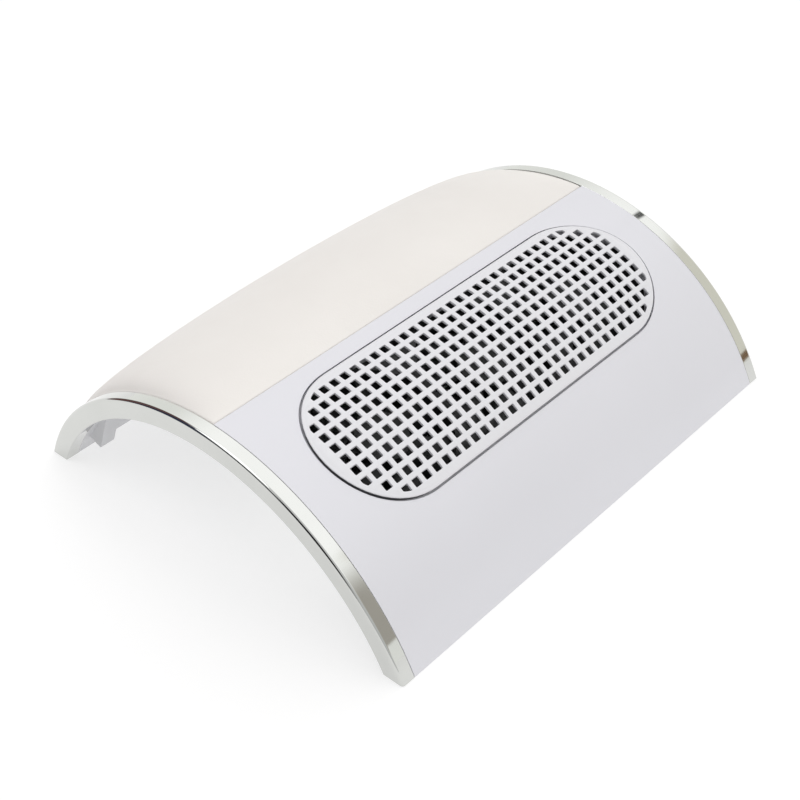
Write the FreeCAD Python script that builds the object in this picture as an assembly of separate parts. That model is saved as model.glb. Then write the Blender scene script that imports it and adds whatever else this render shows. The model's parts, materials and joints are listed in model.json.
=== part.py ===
import FreeCAD, Part
import math
import os

# Arched nail dust collector: a low arch that stands on its front and rear feet, with a padded
# hand rest over its rear half, an intake grille in its front panel, three axial fans under the
# grille and a pull-off dust bag under the fans.
#
# Frame, in millimetres: X along the width (left to right), Y from front to rear, Z up, origin
# on the table under the crown of the arch.  Every curved part shares one axis, parallel to X.
# Most parts are drawn at the crown, at a height measured from that axis, and then swung about
# it to where they belong.  Angles are degrees from the crown, positive towards the front.

V = FreeCAD.Vector

# ---- driving dimensions ------------------------------------------------------------------
ARCH_RADIUS = 147.5
ARCH_HALF_ANGLE = 66.0
FOOT_GAP = 0.5
ARCH_Z = FOOT_GAP - ARCH_RADIUS * math.cos(math.radians(ARCH_HALF_ANGLE))
BEYOND_FOOT = 72.0

TRIM_INNER_X = 150.0
TRIM_OUTER_X = 158.5
TRIM_DEPTH = 11.7
TRIM_EDGE = 1.8
TRIM_WALL = 2.3
SHELL_X = TRIM_INNER_X - 0.2

SKIN = 2.5
SKIN_IN = ARCH_RADIUS - SKIN
LINER_IN = 136.0
LINER_OUT = 138.5
DECK_IN = 139.0
DECK_OUT = 141.2
RIM_OUT = 143.6
RIM_X = 138.0
SEAM_ANGLE = 2.4
SEAM_WALL = 0.9
LIP_ANGLE = 63.0
END_WALL = 2.5

BOARD_IN = 141.4
BOARD_OUT = 143.6
PAD_LOW = 143.8
PAD_X = 149.6
PAD_CROWN = 12.0
PAD_FRONT = SEAM_ANGLE - 0.15
PAD_REAR = -(LIP_ANGLE - 0.2)
COVER = 1.0
FIT_GAP = 0.1

BAY_ANGLE = 23.31
PITCH = 7.5
HOLE = 4.65
ROW_LENGTHS = (28, 30, 32, 32, 32, 32, 32, 32, 30, 28)
HOLE_FIELD_RADIUS = 38.6
GRILLE_CENTRE_X = 85.4
GRILLE_HALF = 41.7
GRILLE_GAP = 1.2
GRILLE_THICK = 3.0
GRILLE_RAISE = 0.8
WEB_THICK = 1.6
WEB_MARGIN = 1.0
LEDGE_IN = 142.0
LEDGE_OUT = 144.2
LEDGE_WIDTH = 4.0
RISER = 2.5
TONGUE_X = (-60.0, 0.0, 60.0)
TONGUE_WIDTH = 12.0
TONGUE_THICK = 1.0
TONGUE_FALL = 1.5

FAN = 80.0
FAN_DEPTH = 25.0
FAN_LOW = 110.0
FAN_TOP = FAN_LOW + FAN_DEPTH
FAN_BORE = 38.5
FAN_HOLE_PITCH = 71.5
FAN_FLANGE = 4.0
FAN_X = {"left": -FAN, "middle": 0.0, "right": FAN}
HUB_RADIUS = 15.0
BLADES = 7
BLADE_TIP = 37.6
SHAFT_RADIUS = 1.5
BEARING_BORE = 1.53

CARRIER_X = 126.0
CARRIER_IN_X = 121.0
CARRIER_FRONT = -42.5
CARRIER_REAR = 46.6
CARRIER_TOP = 140.4
CHANNEL = (42.3, 44.8)
PLATE_LOW = FAN_LOW - 2.5
COLLAR_X = 123.0
COLLAR_Y = 42.3
COLLAR_LOW = 100.0
COLLAR_WALL = 2.0
BEAD = 1.2

BOX_X = (95.0, 145.0)
BOX_FRONT = 62.0
BOX_LOW = 13.0
BOX_WALL = 2.0
LID_LOW = 11.0
RIB_FACE = 125.0
RIB_LOW = 34.7
CHEEK_LOW = 20.8
CHEEK_X = (135.0, 144.7)

SWITCH_Y, SWITCH_Z = 76.0, 34.0
ROCKER_TILT = 12.0
INLET_Y, INLET_Z = 91.5, 22.5

BAG_LOW = 13.2
BAG_WALL = 1.0
BAG_X = 90.0
BAG_MOUTH_X = 125.6
BAG_MOUTH_Y = 44.9
BAG_MOUTH = (97.0, 106.5)
BAG_WELL_X = 110.0
BAG_WELL = (70.0, 99.0)
BAG_POUCH = ((-60, 5), (47, 5), (52, 12), (52, 24), (44, 40), (20, 48), (-8, 50), (-40, 30))
ELASTIC = (103.2, 105.6)
ELASTIC_THICK = 1.5

SCREW_SHANK = 1.4
SCREW_CLEAR = 1.7
SEAT_GAP = 0.05


# ---- basic shapes ------------------------------------------------------------------------
def block(x0, x1, y0, y1, z0, z1):
    return Part.makeBox(x1 - x0, y1 - y0, z1 - z0, V(x0, y0, z0))


def bay(x0, x1, y0, y1, n0, n1):
    """A box drawn at the crown, n being the height above the arch's axis."""
    return block(x0, x1, y0, y1, ARCH_Z + n0, ARCH_Z + n1)


def post(radius, x, y, n0, n1):
    """An upright cylinder drawn at the crown."""
    return Part.makeCylinder(radius, n1 - n0, V(x, y, ARCH_Z + n0))


def ring(r_in, r_out, x, y, n0, n1):
    return post(r_out, x, y, n0, n1).cut(post(r_in, x, y, n0 - 1, n1 + 1))


def swing(shape, angle):
    """Turn a shape drawn at the crown about the arch's axis, forwards for a positive angle."""
    turned = shape.copy()
    turned.rotate(V(0, 0, ARCH_Z), V(1, 0, 0), angle)
    return turned


def on_arch(radius, angle, x):
    a = math.radians(angle)
    return V(x, -radius * math.sin(a), ARCH_Z + radius * math.cos(a))


def band(r_in, r_out, a0, a1, x0, x1):
    """A slab curved about the arch's axis."""
    middle = (a0 + a1) / 2
    edges = [
        Part.Arc(on_arch(r_out, a0, x0), on_arch(r_out, middle, x0), on_arch(r_out, a1, x0)).toShape(),
        Part.makeLine(on_arch(r_out, a1, x0), on_arch(r_in, a1, x0)),
        Part.Arc(on_arch(r_in, a1, x0), on_arch(r_in, middle, x0), on_arch(r_in, a0, x0)).toShape(),
        Part.makeLine(on_arch(r_in, a0, x0), on_arch(r_out, a0, x0)),
    ]
    return Part.Face(Part.Wire(edges)).extrude(V(x1 - x0, 0, 0))


def inside_arch(shape, radius):
    """Keep what lies within a cylinder about the arch's axis."""
    core = Part.makeCylinder(radius, 400, V(-200, 0, ARCH_Z), V(1, 0, 0))
    return shape.common(core)


def above(shape, z):
    return shape.common(block(-200, 200, -200, 200, z, 200))


def fused(shapes):
    return shapes[0].multiFuse(shapes[1:]).removeSplitter()


def polygon_prism(points, direction):
    closed = points + [points[0]]
    return Part.Face(Part.makePolygon(closed)).extrude(direction)


def stadium(half_height, n0, n1):
    """A racetrack prism drawn at the crown, its ends round about X = +-GRILLE_CENTRE_X."""
    flat = chord(half_height)
    middle = bay(-GRILLE_CENTRE_X, GRILLE_CENTRE_X, -flat, flat, n0, n1)
    ends = [post(flat, side * GRILLE_CENTRE_X, 0, n0, n1) for side in (-1, 1)]
    return fused([middle] + ends)


def chord(arc):
    """The straight offset, seen along the bay's axis, of a length measured round the skin."""
    return ARCH_RADIUS * math.sin(arc / ARCH_RADIUS)


def tube(points, radius):
    """Round wire along straight runs joined by tangent arcs; returns the solid and the radii."""
    share = 0.45
    edges = []
    radii = []
    start = points[0]
    for before, corner, after in zip(points, points[1:], points[2:]):
        run_in = corner - before
        run_out = after - corner
        setback = share * min(run_in.Length, run_out.Length)
        half_turn = run_in.getAngle(run_out) / 2
        run_in.normalize()
        run_out.normalize()
        arc_radius = setback / math.tan(half_turn)
        towards_centre = run_out - run_in
        towards_centre.normalize()
        entry = corner - run_in * setback
        leave = corner + run_out * setback
        crest = corner + towards_centre * (arc_radius / math.cos(half_turn) - arc_radius)
        edges.append(Part.makeLine(start, entry))
        edges.append(Part.Arc(entry, crest, leave).toShape())
        radii.append(round(arc_radius, 1))
        start = leave
    edges.append(Part.makeLine(start, points[-1]))
    path = Part.Wire(edges)
    profile = Part.Wire([Part.makeCircle(radius, points[0], points[1] - points[0])])
    return path.makePipeShell([profile], True, False), radii


def screw(x, y, n_seat, n_tip, shank=SCREW_SHANK, head=2.8, head_height=1.8):
    """A pan-head screw drawn at the crown, driven outwards, its head under n_seat."""
    cap = post(head, x, y, n_seat - head_height, n_seat)
    body = fused([cap, post(shank, x, y, n_seat - 0.1, n_tip)])
    slot, depth = 0.45, 1.0
    low = n_seat - head_height
    across = bay(x - head * 0.6, x + head * 0.6, y - slot, y + slot, low - 1, low + depth)
    along = bay(x - slot, x + slot, y - head * 0.6, y + head * 0.6, low - 1, low + depth)
    return body.cut(fused([across, along]))


# ---- fixing points -----------------------------------------------------------------------
SHELL_SCREW_ANGLE = 52.0
SHELL_SCREW_X = (-110.0, 0.0, 110.0)
PAD_SCREWS = [(x, angle) for angle in (-12.0, -38.0) for x in (-80.0, 0.0, 80.0)]
EAR_X, EAR_Y = 131.5, 30.0
EAR_SCREW_TIP = 140.4
EARS = [(sx * EAR_X, sy * EAR_Y) for sx in (-1, 1) for sy in (-1, 1)]
PEG_RADIUS = 1.5
PEG_AT = 141.5
PEG_ANGLES = (-54.0, -34.0, -14.0, 14.0, 34.0, 54.0)
BOX_SCREWS = [(x, -32.0) for x in (104.0, 136.0)]
LID_POSTS = ((99.5, 66.5), (140.5, 66.5), (114.0, 98.0))
BOARD_POSTS = ((102.5, 91.0), (123.5, 75.5))
FOOT_PADS = [(x, y) for x in (-112.0, 112.0) for y in (-128.75, 128.75)]
FOOT_PAD_SIZE = (40.0, 5.5, 1.5)


def holes_at(spots, radius, n0, n1):
    """Radial holes at (x, angle) spots."""
    return [swing(post(radius, x, 0, n0, n1), angle) for x, angle in spots]


def foot_pad_boxes(grow):
    length, width, thick = FOOT_PAD_SIZE
    half_x, half_y = length / 2 + grow, width / 2 + grow
    return [block(x - half_x, x + half_x, y - half_y, y + half_y, 0, thick) for x, y in FOOT_PADS]


# ---- casings -----------------------------------------------------------------------------
def upper_shell():
    """Front panel, recessed deck under the pad, grille ledge, end walls, ribs and bosses."""
    seam_inner = SEAM_ANGLE + SEAM_WALL
    walls = [
        band(SKIN_IN, ARCH_RADIUS, SEAM_ANGLE, BEYOND_FOOT, -SHELL_X, SHELL_X),
        band(DECK_IN, ARCH_RADIUS, SEAM_ANGLE, seam_inner, -SHELL_X, SHELL_X),
        band(DECK_IN, DECK_OUT, -BEYOND_FOOT, seam_inner, -SHELL_X, SHELL_X),
        band(DECK_IN, ARCH_RADIUS, -BEYOND_FOOT, -LIP_ANGLE, -SHELL_X, SHELL_X),
    ]
    for side in (-1, 1):
        x0, x1 = sorted((side * RIM_X, side * SHELL_X))
        walls.append(band(DECK_IN, RIM_OUT, -LIP_ANGLE - 1, seam_inner, x0, x1))
        x0, x1 = sorted((side * (SHELL_X - END_WALL), side * SHELL_X))
        walls.append(band(DECK_IN, SKIN_IN + 1, SEAM_ANGLE, BEYOND_FOOT, x0, x1))
    for x in (-65.0, 65.0):
        walls.append(band(DECK_IN, SKIN_IN + 1, 43.5, 61.5, x - 1, x + 1))
    bosses = [swing(post(3.5, x, 0, DECK_IN, SKIN_IN + 1), SHELL_SCREW_ANGLE) for x in SHELL_SCREW_X]
    bosses += [swing(post(3.2, x, y, DECK_IN - 4, SKIN_IN + 1), BAY_ANGLE) for x, y in EARS]
    bosses = [inside_arch(boss, SKIN_IN + 1).cut(inside_arch(boss, DECK_IN)) for boss in bosses]
    opening_half = GRILLE_HALF + GRILLE_GAP
    outer = stadium(opening_half + RISER, 120, 160)
    opening = stadium(opening_half, 120, 160)
    ledge = band(LEDGE_IN, LEDGE_OUT, -25, 25, -135, 135)
    ledge = ledge.common(outer.cut(stadium(opening_half - LEDGE_WIDTH, 119, 161)))
    riser = band(LEDGE_IN, SKIN_IN + 1, -25, 25, -135, 135).common(outer.cut(opening))
    seat = swing(fused([ledge, riser]), BAY_ANGLE)
    skin = walls[0].cut(swing(opening, BAY_ANGLE))
    shell = above(fused([skin] + walls[1:] + bosses + [seat]), FOOT_GAP)
    cuts = holes_at([(x, SHELL_SCREW_ANGLE) for x in SHELL_SCREW_X], SCREW_SHANK, 130, 144)
    cuts += [swing(post(SCREW_SHANK, x, y, 125, EAR_SCREW_TIP + 0.2), BAY_ANGLE) for x, y in EARS]
    cuts += holes_at(PAD_SCREWS, SCREW_CLEAR, 130, 142)
    cuts += [peg(side, angle, 0.05) for side in (-1, 1) for angle in PEG_ANGLES]
    cuts += foot_pad_boxes(0.1)
    return shell.cut(cuts)


def liner_rib():
    """Hollow stiffening rib moulded along the rear of the liner, deeper at its two ends."""
    face, bottom = RIB_FACE, RIB_LOW
    plates = [
        bay(-CHEEK_X[0], CHEEK_X[0], face, face + 2, bottom, 60),
        bay(-CHEEK_X[0], CHEEK_X[0], face, 137, bottom, bottom + 2),
    ]
    for side in (-1, 1):
        x0, x1 = sorted((side * CHEEK_X[0], side * CHEEK_X[1]))
        outer0, outer1 = sorted((side * CHEEK_X[1], side * (CHEEK_X[1] - 2)))
        inner0, inner1 = sorted((side * CHEEK_X[0], side * (CHEEK_X[0] + 2)))
        plates.append(bay(x0, x1, face, face + 2, CHEEK_LOW, 60))
        plates.append(bay(x0, x1, face, 137, CHEEK_LOW, CHEEK_LOW + 2))
        plates.append(bay(outer0, outer1, face, 137, CHEEK_LOW, 60))
        plates.append(bay(inner0, inner1, face, 137, CHEEK_LOW, bottom + 2))
    return swing(inside_arch(fused(plates), LINER_IN + 0.3), BAY_ANGLE)


def lower_shell():
    """Inner liner of the arch with the fan bay's window and the front foot's flange."""
    liner = band(LINER_IN, LINER_OUT, -BEYOND_FOOT, BEYOND_FOOT, -SHELL_X, SHELL_X)
    flange = band(LINER_OUT - 1, SKIN_IN - 0.3, 50, BEYOND_FOOT, -147, 147)
    flange = flange.common(block(-200, 200, -200, 0, 0, FOOT_GAP + 3.0))
    window = bay(-127, 127, CARRIER_FRONT - 1, CARRIER_REAR + 1, 115, 150)
    shell = above(fused([liner, flange, liner_rib()]), FOOT_GAP).cut(swing(window, BAY_ANGLE))
    cuts = holes_at([(x, SHELL_SCREW_ANGLE) for x in SHELL_SCREW_X], SCREW_CLEAR, 130, 142)
    cuts += holes_at(PAD_SCREWS, SCREW_CLEAR, 130, 142)
    cuts += holes_at(BOX_SCREWS, SCREW_SHANK, 130, 142)
    cuts += [swing(post(SCREW_CLEAR, x, y, 125, 143.5), BAY_ANGLE) for x, y in EARS]
    cuts += foot_pad_boxes(0.1)
    return shell.cut(cuts)


def peg(side, angle, grow=0.0):
    start = on_arch(PEG_AT, angle, side * (TRIM_INNER_X + 6.5))
    return Part.makeCylinder(PEG_RADIUS + grow, 12.5, start, V(-side, 0, 0))


def trim(side):
    """Plated end frame: a channel turned about the arch's axis, closed at its feet, with pegs."""
    x_in, x_out = TRIM_INNER_X, TRIM_OUTER_X
    low, high = ARCH_RADIUS - TRIM_DEPTH, ARCH_RADIUS
    edge, soft = TRIM_EDGE, 0.6
    diagonal = 1 - math.sqrt(0.5)

    def at(x, radius):
        return V(side * x, 0, ARCH_Z + radius)

    outline = [
        Part.makeLine(at(x_in, low), at(x_out - soft, low)),
        Part.Arc(at(x_out - soft, low), at(x_out - soft * diagonal, low + soft * diagonal),
                 at(x_out, low + soft)).toShape(),
        Part.makeLine(at(x_out, low + soft), at(x_out, high - edge)),
        Part.Arc(at(x_out, high - edge), at(x_out - edge * diagonal, high - edge * diagonal),
                 at(x_out - edge, high)).toShape(),
        Part.makeLine(at(x_out - edge, high), at(x_in, high)),
        Part.makeLine(at(x_in, high), at(x_in, low)),
    ]
    profile = Part.Face(Part.Wire(outline))
    profile.rotate(V(0, 0, ARCH_Z), V(1, 0, 0), -BEYOND_FOOT)
    bar = profile.revolve(V(0, 0, ARCH_Z), V(1, 0, 0), 2 * BEYOND_FOOT)
    x0, x1 = sorted((side * (x_in - 1), side * (x_out - TRIM_WALL)))
    groove = band(low + TRIM_WALL, high - TRIM_WALL, -BEYOND_FOOT, BEYOND_FOOT, x0, x1)
    channel = bar.cut(above(groove, FOOT_GAP + TRIM_WALL))
    pegs = [peg(side, angle) for angle in PEG_ANGLES]
    return above(fused([channel] + pegs), FOOT_GAP)


def rubber_feet():
    return Part.makeCompound(foot_pad_boxes(0.0))


# ---- hand rest ---------------------------------------------------------------------------
def hand_rest_board():
    board = band(BOARD_IN, BOARD_OUT, PAD_REAR, PAD_FRONT, -RIM_X + 0.4, RIM_X - 0.4)
    return board.cut(holes_at(PAD_SCREWS, SCREW_SHANK, 130, 150))


def pad_body(inset, low):
    """The pad as a loft of arched sections whose crown swells from its ends to its middle."""
    half = PAD_X - inset
    turn = math.degrees(inset / ARCH_RADIUS)
    front, rear = PAD_FRONT - turn, PAD_REAR + turn
    middle = (front + rear) / 2
    top = ARCH_RADIUS - inset
    sections = []
    for step in range(-6, 7):
        place = math.radians(15 * step)
        x = half * math.sin(place)
        crown = PAD_CROWN * math.cos(place)
        over = Part.Arc(on_arch(top, front, x), on_arch(top + crown, middle, x), on_arch(top, rear, x))
        under = Part.Arc(on_arch(low, rear, x), on_arch(low, middle, x), on_arch(low, front, x))
        edges = [
            over.toShape(),
            Part.makeLine(on_arch(top, rear, x), on_arch(low, rear, x)),
            under.toShape(),
            Part.makeLine(on_arch(low, front, x), on_arch(top, front, x)),
        ]
        sections.append(Part.Wire(edges))
    return Part.makeLoft(sections, True, True)


def cushion_cover():
    return pad_body(0.0, PAD_LOW).cut(pad_body(COVER, PAD_LOW - 2))


def cushion_foam():
    return pad_body(COVER + FIT_GAP, PAD_LOW)


# ---- intake grille -----------------------------------------------------------------------
def intake_grille():
    """Curved racetrack plate, thick at its rim, its thin middle pierced by rows of square holes."""
    top = ARCH_RADIUS + GRILLE_RAISE
    web_in = top - WEB_THICK
    rim = stadium(GRILLE_HALF, 120, 160)
    pocket = inside_arch(stadium(HOLE_FIELD_RADIUS + WEB_MARGIN, 119, 161), web_in)
    plate = band(ARCH_RADIUS - GRILLE_THICK, top, -20, 20, -130, 130).common(rim).cut(pocket)
    holes = []
    for row, count in enumerate(ROW_LENGTHS):
        turn = (row - (len(ROW_LENGTHS) - 1) / 2) * PITCH / ARCH_RADIUS
        y = ARCH_RADIUS * math.sin(turn)
        half_y = HOLE / 2 * math.cos(turn)
        for column in range(count):
            x = (column - (count - 1) / 2) * PITCH
            holes.append(bay(x - HOLE / 2, x + HOLE / 2, y - half_y, y + half_y, 135, 150))
    field = stadium(HOLE_FIELD_RADIUS, 134, 151)
    plate = plate.cut(Part.makeCompound(holes).common(field))
    return swing(fused([plate] + grille_tongues(web_in)), BAY_ANGLE)


def grille_tongues(web_in):
    """Short fins under the web, just inside the ledge, which hold the plate in place."""
    reach = chord(GRILLE_HALF + GRILLE_GAP - LEDGE_WIDTH) - 0.4
    tongues = []
    low = LEDGE_IN - TONGUE_FALL
    for x in TONGUE_X:
        for side in (-1, 1):
            y0, y1 = sorted((side * reach, side * (reach - TONGUE_THICK)))
            fin = bay(x - TONGUE_WIDTH / 2, x + TONGUE_WIDTH / 2, y0, y1, low - 5, web_in)
            tongues.append(inside_arch(fin, web_in + 0.5).cut(inside_arch(fin, low)))
    return tongues


# ---- fan bay -----------------------------------------------------------------------------
def fan_carrier():
    """Duct that holds the fans, with a wire channel behind them and the bag's collar below."""
    outer = bay(-CARRIER_X, CARRIER_X, CARRIER_FRONT, CARRIER_REAR, PLATE_LOW, 142)
    hollow = bay(-CARRIER_IN_X, CARRIER_IN_X, -FAN / 2 - 0.3, FAN / 2 + 0.3, FAN_LOW, 145)
    channel = bay(-CARRIER_IN_X, CARRIER_IN_X, CHANNEL[0], CHANNEL[1], FAN_LOW, 145)
    duct = inside_arch(outer, CARRIER_TOP).cut([hollow, channel])
    collar = bay(-COLLAR_X, COLLAR_X, -COLLAR_Y, COLLAR_Y, COLLAR_LOW, PLATE_LOW + 0.5)
    bead = bay(-COLLAR_X - BEAD, COLLAR_X + BEAD, -COLLAR_Y - BEAD, COLLAR_Y + BEAD,
               COLLAR_LOW + 0.3, COLLAR_LOW + 2.3)
    mouth = bay(-COLLAR_X + COLLAR_WALL, COLLAR_X - COLLAR_WALL, -COLLAR_Y + COLLAR_WALL,
                COLLAR_Y - COLLAR_WALL, COLLAR_LOW - 1, PLATE_LOW)
    ears = []
    for x, y in EARS:
        x0, x1 = sorted((math.copysign(CARRIER_X - 1, x), math.copysign(EAR_X + 5, x)))
        ears.append(swing(band(LINER_IN - 4.3, LINER_IN - 0.3, -17, 17, x0, x1), 0).common(
            bay(x0, x1, y - 6, y + 6, 100, 150)))
    body = fused([duct, collar, bead] + ears).cut(mouth)
    cuts = [post(FAN_BORE, x, 0, COLLAR_LOW, FAN_LOW + 1) for x in FAN_X.values()]
    cuts += [post(2.3, x, y, PLATE_LOW - 1, FAN_LOW + 1) for x, y in fan_hole_centres()]
    cuts += [post(SCREW_CLEAR, x, y, 120, 142) for x, y in EARS]
    for x in FAN_X.values():
        cuts.append(bay(x + 30, x + 36, FAN / 2, CHANNEL[0] + 0.1, 114.5, 123))
    cuts.append(bay(CARRIER_IN_X - 1, CARRIER_X + 1, CHANNEL[0], CHANNEL[1], 115, 122))
    return swing(body.cut(cuts), BAY_ANGLE)


def duct_gasket():
    """Foam strip between the duct's rim and the underside of the front panel."""
    outer = bay(-CARRIER_X, CARRIER_X, CARRIER_FRONT, CHANNEL[0], 120, 150)
    inner = bay(-CARRIER_IN_X - 3, CARRIER_IN_X + 3, -FAN / 2 - 0.3, FAN / 2 + 0.3, 119, 151)
    strip = band(CARRIER_TOP + 0.1, LEDGE_IN - 0.1, -25, 25, -130, 130)
    return swing(strip.common(outer.cut(inner)), BAY_ANGLE)


def fan_hole_centres():
    half = FAN_HOLE_PITCH / 2
    return [(x + sx * half, sy * half) for x in FAN_X.values() for sx in (-1, 1) for sy in (-1, 1)]


def fan_frame(x):
    """Square fan housing: two flanges, a round wall, four stator arms and a bearing tube."""
    half = FAN / 2 - 0.1
    flanges = []
    for low in (FAN_LOW, FAN_TOP - FAN_FLANGE):
        plate = bay(x - half, x + half, -half, half, low, low + FAN_FLANGE)
        upright = [e for e in plate.Edges if abs(e.tangentAt(e.FirstParameter).z) > 0.99]
        flanges.append(plate.makeFillet(3.5, upright))
    wall = post(FAN / 2 - 0.1, x, 0, FAN_LOW, FAN_TOP)
    frame = fused(flanges + [wall]).cut(post(FAN_BORE, x, 0, FAN_LOW - 1, FAN_TOP + 1))
    arm = bay(x + 9, x + FAN_BORE + 0.6, -1.8, 1.8, FAN_LOW, FAN_LOW + 2.4)
    arms = []
    for turn in (45, 135, 225, 315):
        spoke = arm.copy()
        spoke.rotate(V(x, 0, 0), V(0, 0, 1), turn)
        arms.append(spoke)
    base = post(13.5, x, 0, FAN_LOW, FAN_LOW + 2.0)
    bearing_tube = post(4.6, x, 0, FAN_LOW, FAN_LOW + 16)
    solid = fused([frame, base, bearing_tube] + arms)
    cuts = [post(4.02, x, 0, FAN_LOW + 2.0, FAN_TOP)]
    half_pitch = FAN_HOLE_PITCH / 2
    for sx in (-1, 1):
        for sy in (-1, 1):
            cuts.append(post(2.15, x + sx * half_pitch, sy * half_pitch, FAN_LOW - 1, FAN_TOP + 1))
    return swing(solid.cut(cuts), BAY_ANGLE)


def blade_section(radius, chord_length, stagger, camber, thick=1.2):
    """Cambered plate section at one radius, drawn with the fan's axis upright at the origin."""
    s = math.radians(stagger)

    def at(along, proud):
        return V(radius, along * math.cos(s) - proud * math.sin(s), along * math.sin(s) + proud * math.cos(s))

    half, skin = chord_length / 2, thick / 2
    top = Part.Arc(at(-half, skin), at(0, camber + skin), at(half, skin)).toShape()
    low = Part.Arc(at(half, -skin), at(0, camber - skin), at(-half, -skin)).toShape()
    nose = Part.makeLine(at(half, skin), at(half, -skin))
    tail = Part.makeLine(at(-half, -skin), at(-half, skin))
    return Part.Wire([top, nose, low, tail])


def fan_impeller(x):
    """Hub cup with twisted blades and a boss for the shaft."""
    hub_low, hub_top = FAN_LOW + 3.2, FAN_TOP - 3.0
    cup = post(HUB_RADIUS, x, 0, hub_low, hub_top).cut(post(HUB_RADIUS - 1.4, x, 0, hub_low - 1, hub_top - 1.6))
    boss = post(4.0, x, 0, hub_top - 5.5, hub_top - 1)
    sections = [
        blade_section(HUB_RADIUS - 0.9, 17.0, 50.0, 2.2),
        blade_section(26.0, 21.5, 37.0, 2.4),
        blade_section(BLADE_TIP + 1.5, 26.0, 28.0, 2.4),
    ]
    blade = Part.makeLoft(sections, True, True)
    blade.translate(V(x, 0, ARCH_Z + (FAN_LOW + FAN_TOP) / 2))
    limit = ring(HUB_RADIUS - 1.2, BLADE_TIP, x, 0, FAN_LOW, FAN_TOP)
    blade = blade.common(limit)
    blades = []
    for index in range(BLADES):
        copy = blade.copy()
        copy.rotate(V(x, 0, 0), V(0, 0, 1), index * 360.0 / BLADES)
        blades.append(copy)
    bore = post(SHAFT_RADIUS + 0.01, x, 0, hub_top - 6, hub_top - 1.2)
    return swing(fused([cup, boss] + blades).cut(bore), BAY_ANGLE)


def fan_rotor_ring(x):
    """Steel yoke and magnet ring that line the hub cup."""
    top = FAN_TOP - 4.62
    outer = post(HUB_RADIUS - 1.42, x, 0, FAN_LOW + 4, top)
    hollow = post(11.2, x, 0, FAN_LOW + 3, top - 1.2)
    return swing(outer.cut([hollow, post(4.05, x, 0, top - 2, top + 1)]), BAY_ANGLE)


def fan_shaft(x):
    return swing(post(SHAFT_RADIUS, x, 0, FAN_LOW + 2.6, FAN_TOP - 4.4), BAY_ANGLE)


def fan_bearings(x):
    rings = [ring(BEARING_BORE, 4.0, x, 0, FAN_LOW + low, FAN_LOW + low + 4) for low in (3.0, 11.8)]
    return swing(Part.makeCompound(rings), BAY_ANGLE)


def fan_stator(x):
    """Four-pole laminated core round the bearing tube."""
    low, high = FAN_LOW + 5.5, FAN_LOW + 13.5
    core = ring(4.62, 6.6, x, 0, low, high)
    rim = ring(8.9, 10.5, x, 0, low, high)
    gaps = []
    arms = [bay(x - 10, x + 10, -1.4, 1.4, low, high), bay(x - 1.4, x + 1.4, -10, 10, low, high)]
    for turn in (45, 135):
        gap = bay(x - 12, x + 12, -1.2, 1.2, low - 1, high + 1)
        gap.rotate(V(x, 0, 0), V(0, 0, 1), turn)
        gaps.append(gap)
    poles = rim.cut(gaps)
    spokes = [arm.cut(post(5.0, x, 0, low - 1, high + 1)) for arm in arms]
    return swing(fused([core, poles] + spokes), BAY_ANGLE)


def fan_coils(x):
    """A copper winding on each pole of the core."""
    low, high = FAN_LOW + 4.9, FAN_LOW + 14.1
    coil = bay(x + 6.75, x + 8.4, -2.4, 2.4, low, high)
    coil = coil.cut(bay(x + 6, x + 10, -1.45, 1.45, low + 0.55, high - 0.55))
    coils = []
    for turn in (0, 90, 180, 270):
        copy = coil.copy()
        copy.rotate(V(x, 0, 0), V(0, 0, 1), turn)
        coils.append(copy)
    return swing(Part.makeCompound(coils), BAY_ANGLE)


# ---- fasteners ---------------------------------------------------------------------------
def fan_screws():
    screws = [screw(x, y, PLATE_LOW, FAN_LOW + 3.5, shank=2.1, head=3.6, head_height=2.2)
              for x, y in fan_hole_centres()]
    return swing(Part.makeCompound(screws), BAY_ANGLE)


def carrier_screws():
    screws = []
    for x, y in EARS:
        seat = math.sqrt((LINER_IN - 4.3) ** 2 - (abs(y) + 2.8) ** 2)
        screws.append(screw(x, y, seat, EAR_SCREW_TIP))
    return swing(Part.makeCompound(screws), BAY_ANGLE)


def shell_screws():
    seat = LINER_IN - SEAT_GAP
    return Part.makeCompound([swing(screw(x, 0, seat, 143.5), SHELL_SCREW_ANGLE) for x in SHELL_SCREW_X])


def pad_screws():
    seat = LINER_IN - SEAT_GAP
    return Part.makeCompound([swing(screw(x, 0, seat, BOARD_OUT - 0.2), angle) for x, angle in PAD_SCREWS])


def box_screws():
    seat = LINER_IN - 0.3 - BOX_WALL - SEAT_GAP
    return Part.makeCompound([swing(screw(x, 0, seat, LINER_OUT), angle) for x, angle in BOX_SCREWS])


# ---- power box ---------------------------------------------------------------------------
def box_prism(x0, x1, front, low, radius, rear):
    """Upright prism closed above by the liner's curve and behind by the rib's slanted face."""
    prism = inside_arch(block(x0, x1, front, 125, low, 80), radius)
    return prism.common(swing(bay(-200, 200, -200, rear, -150, 200), BAY_ANGLE))


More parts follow.
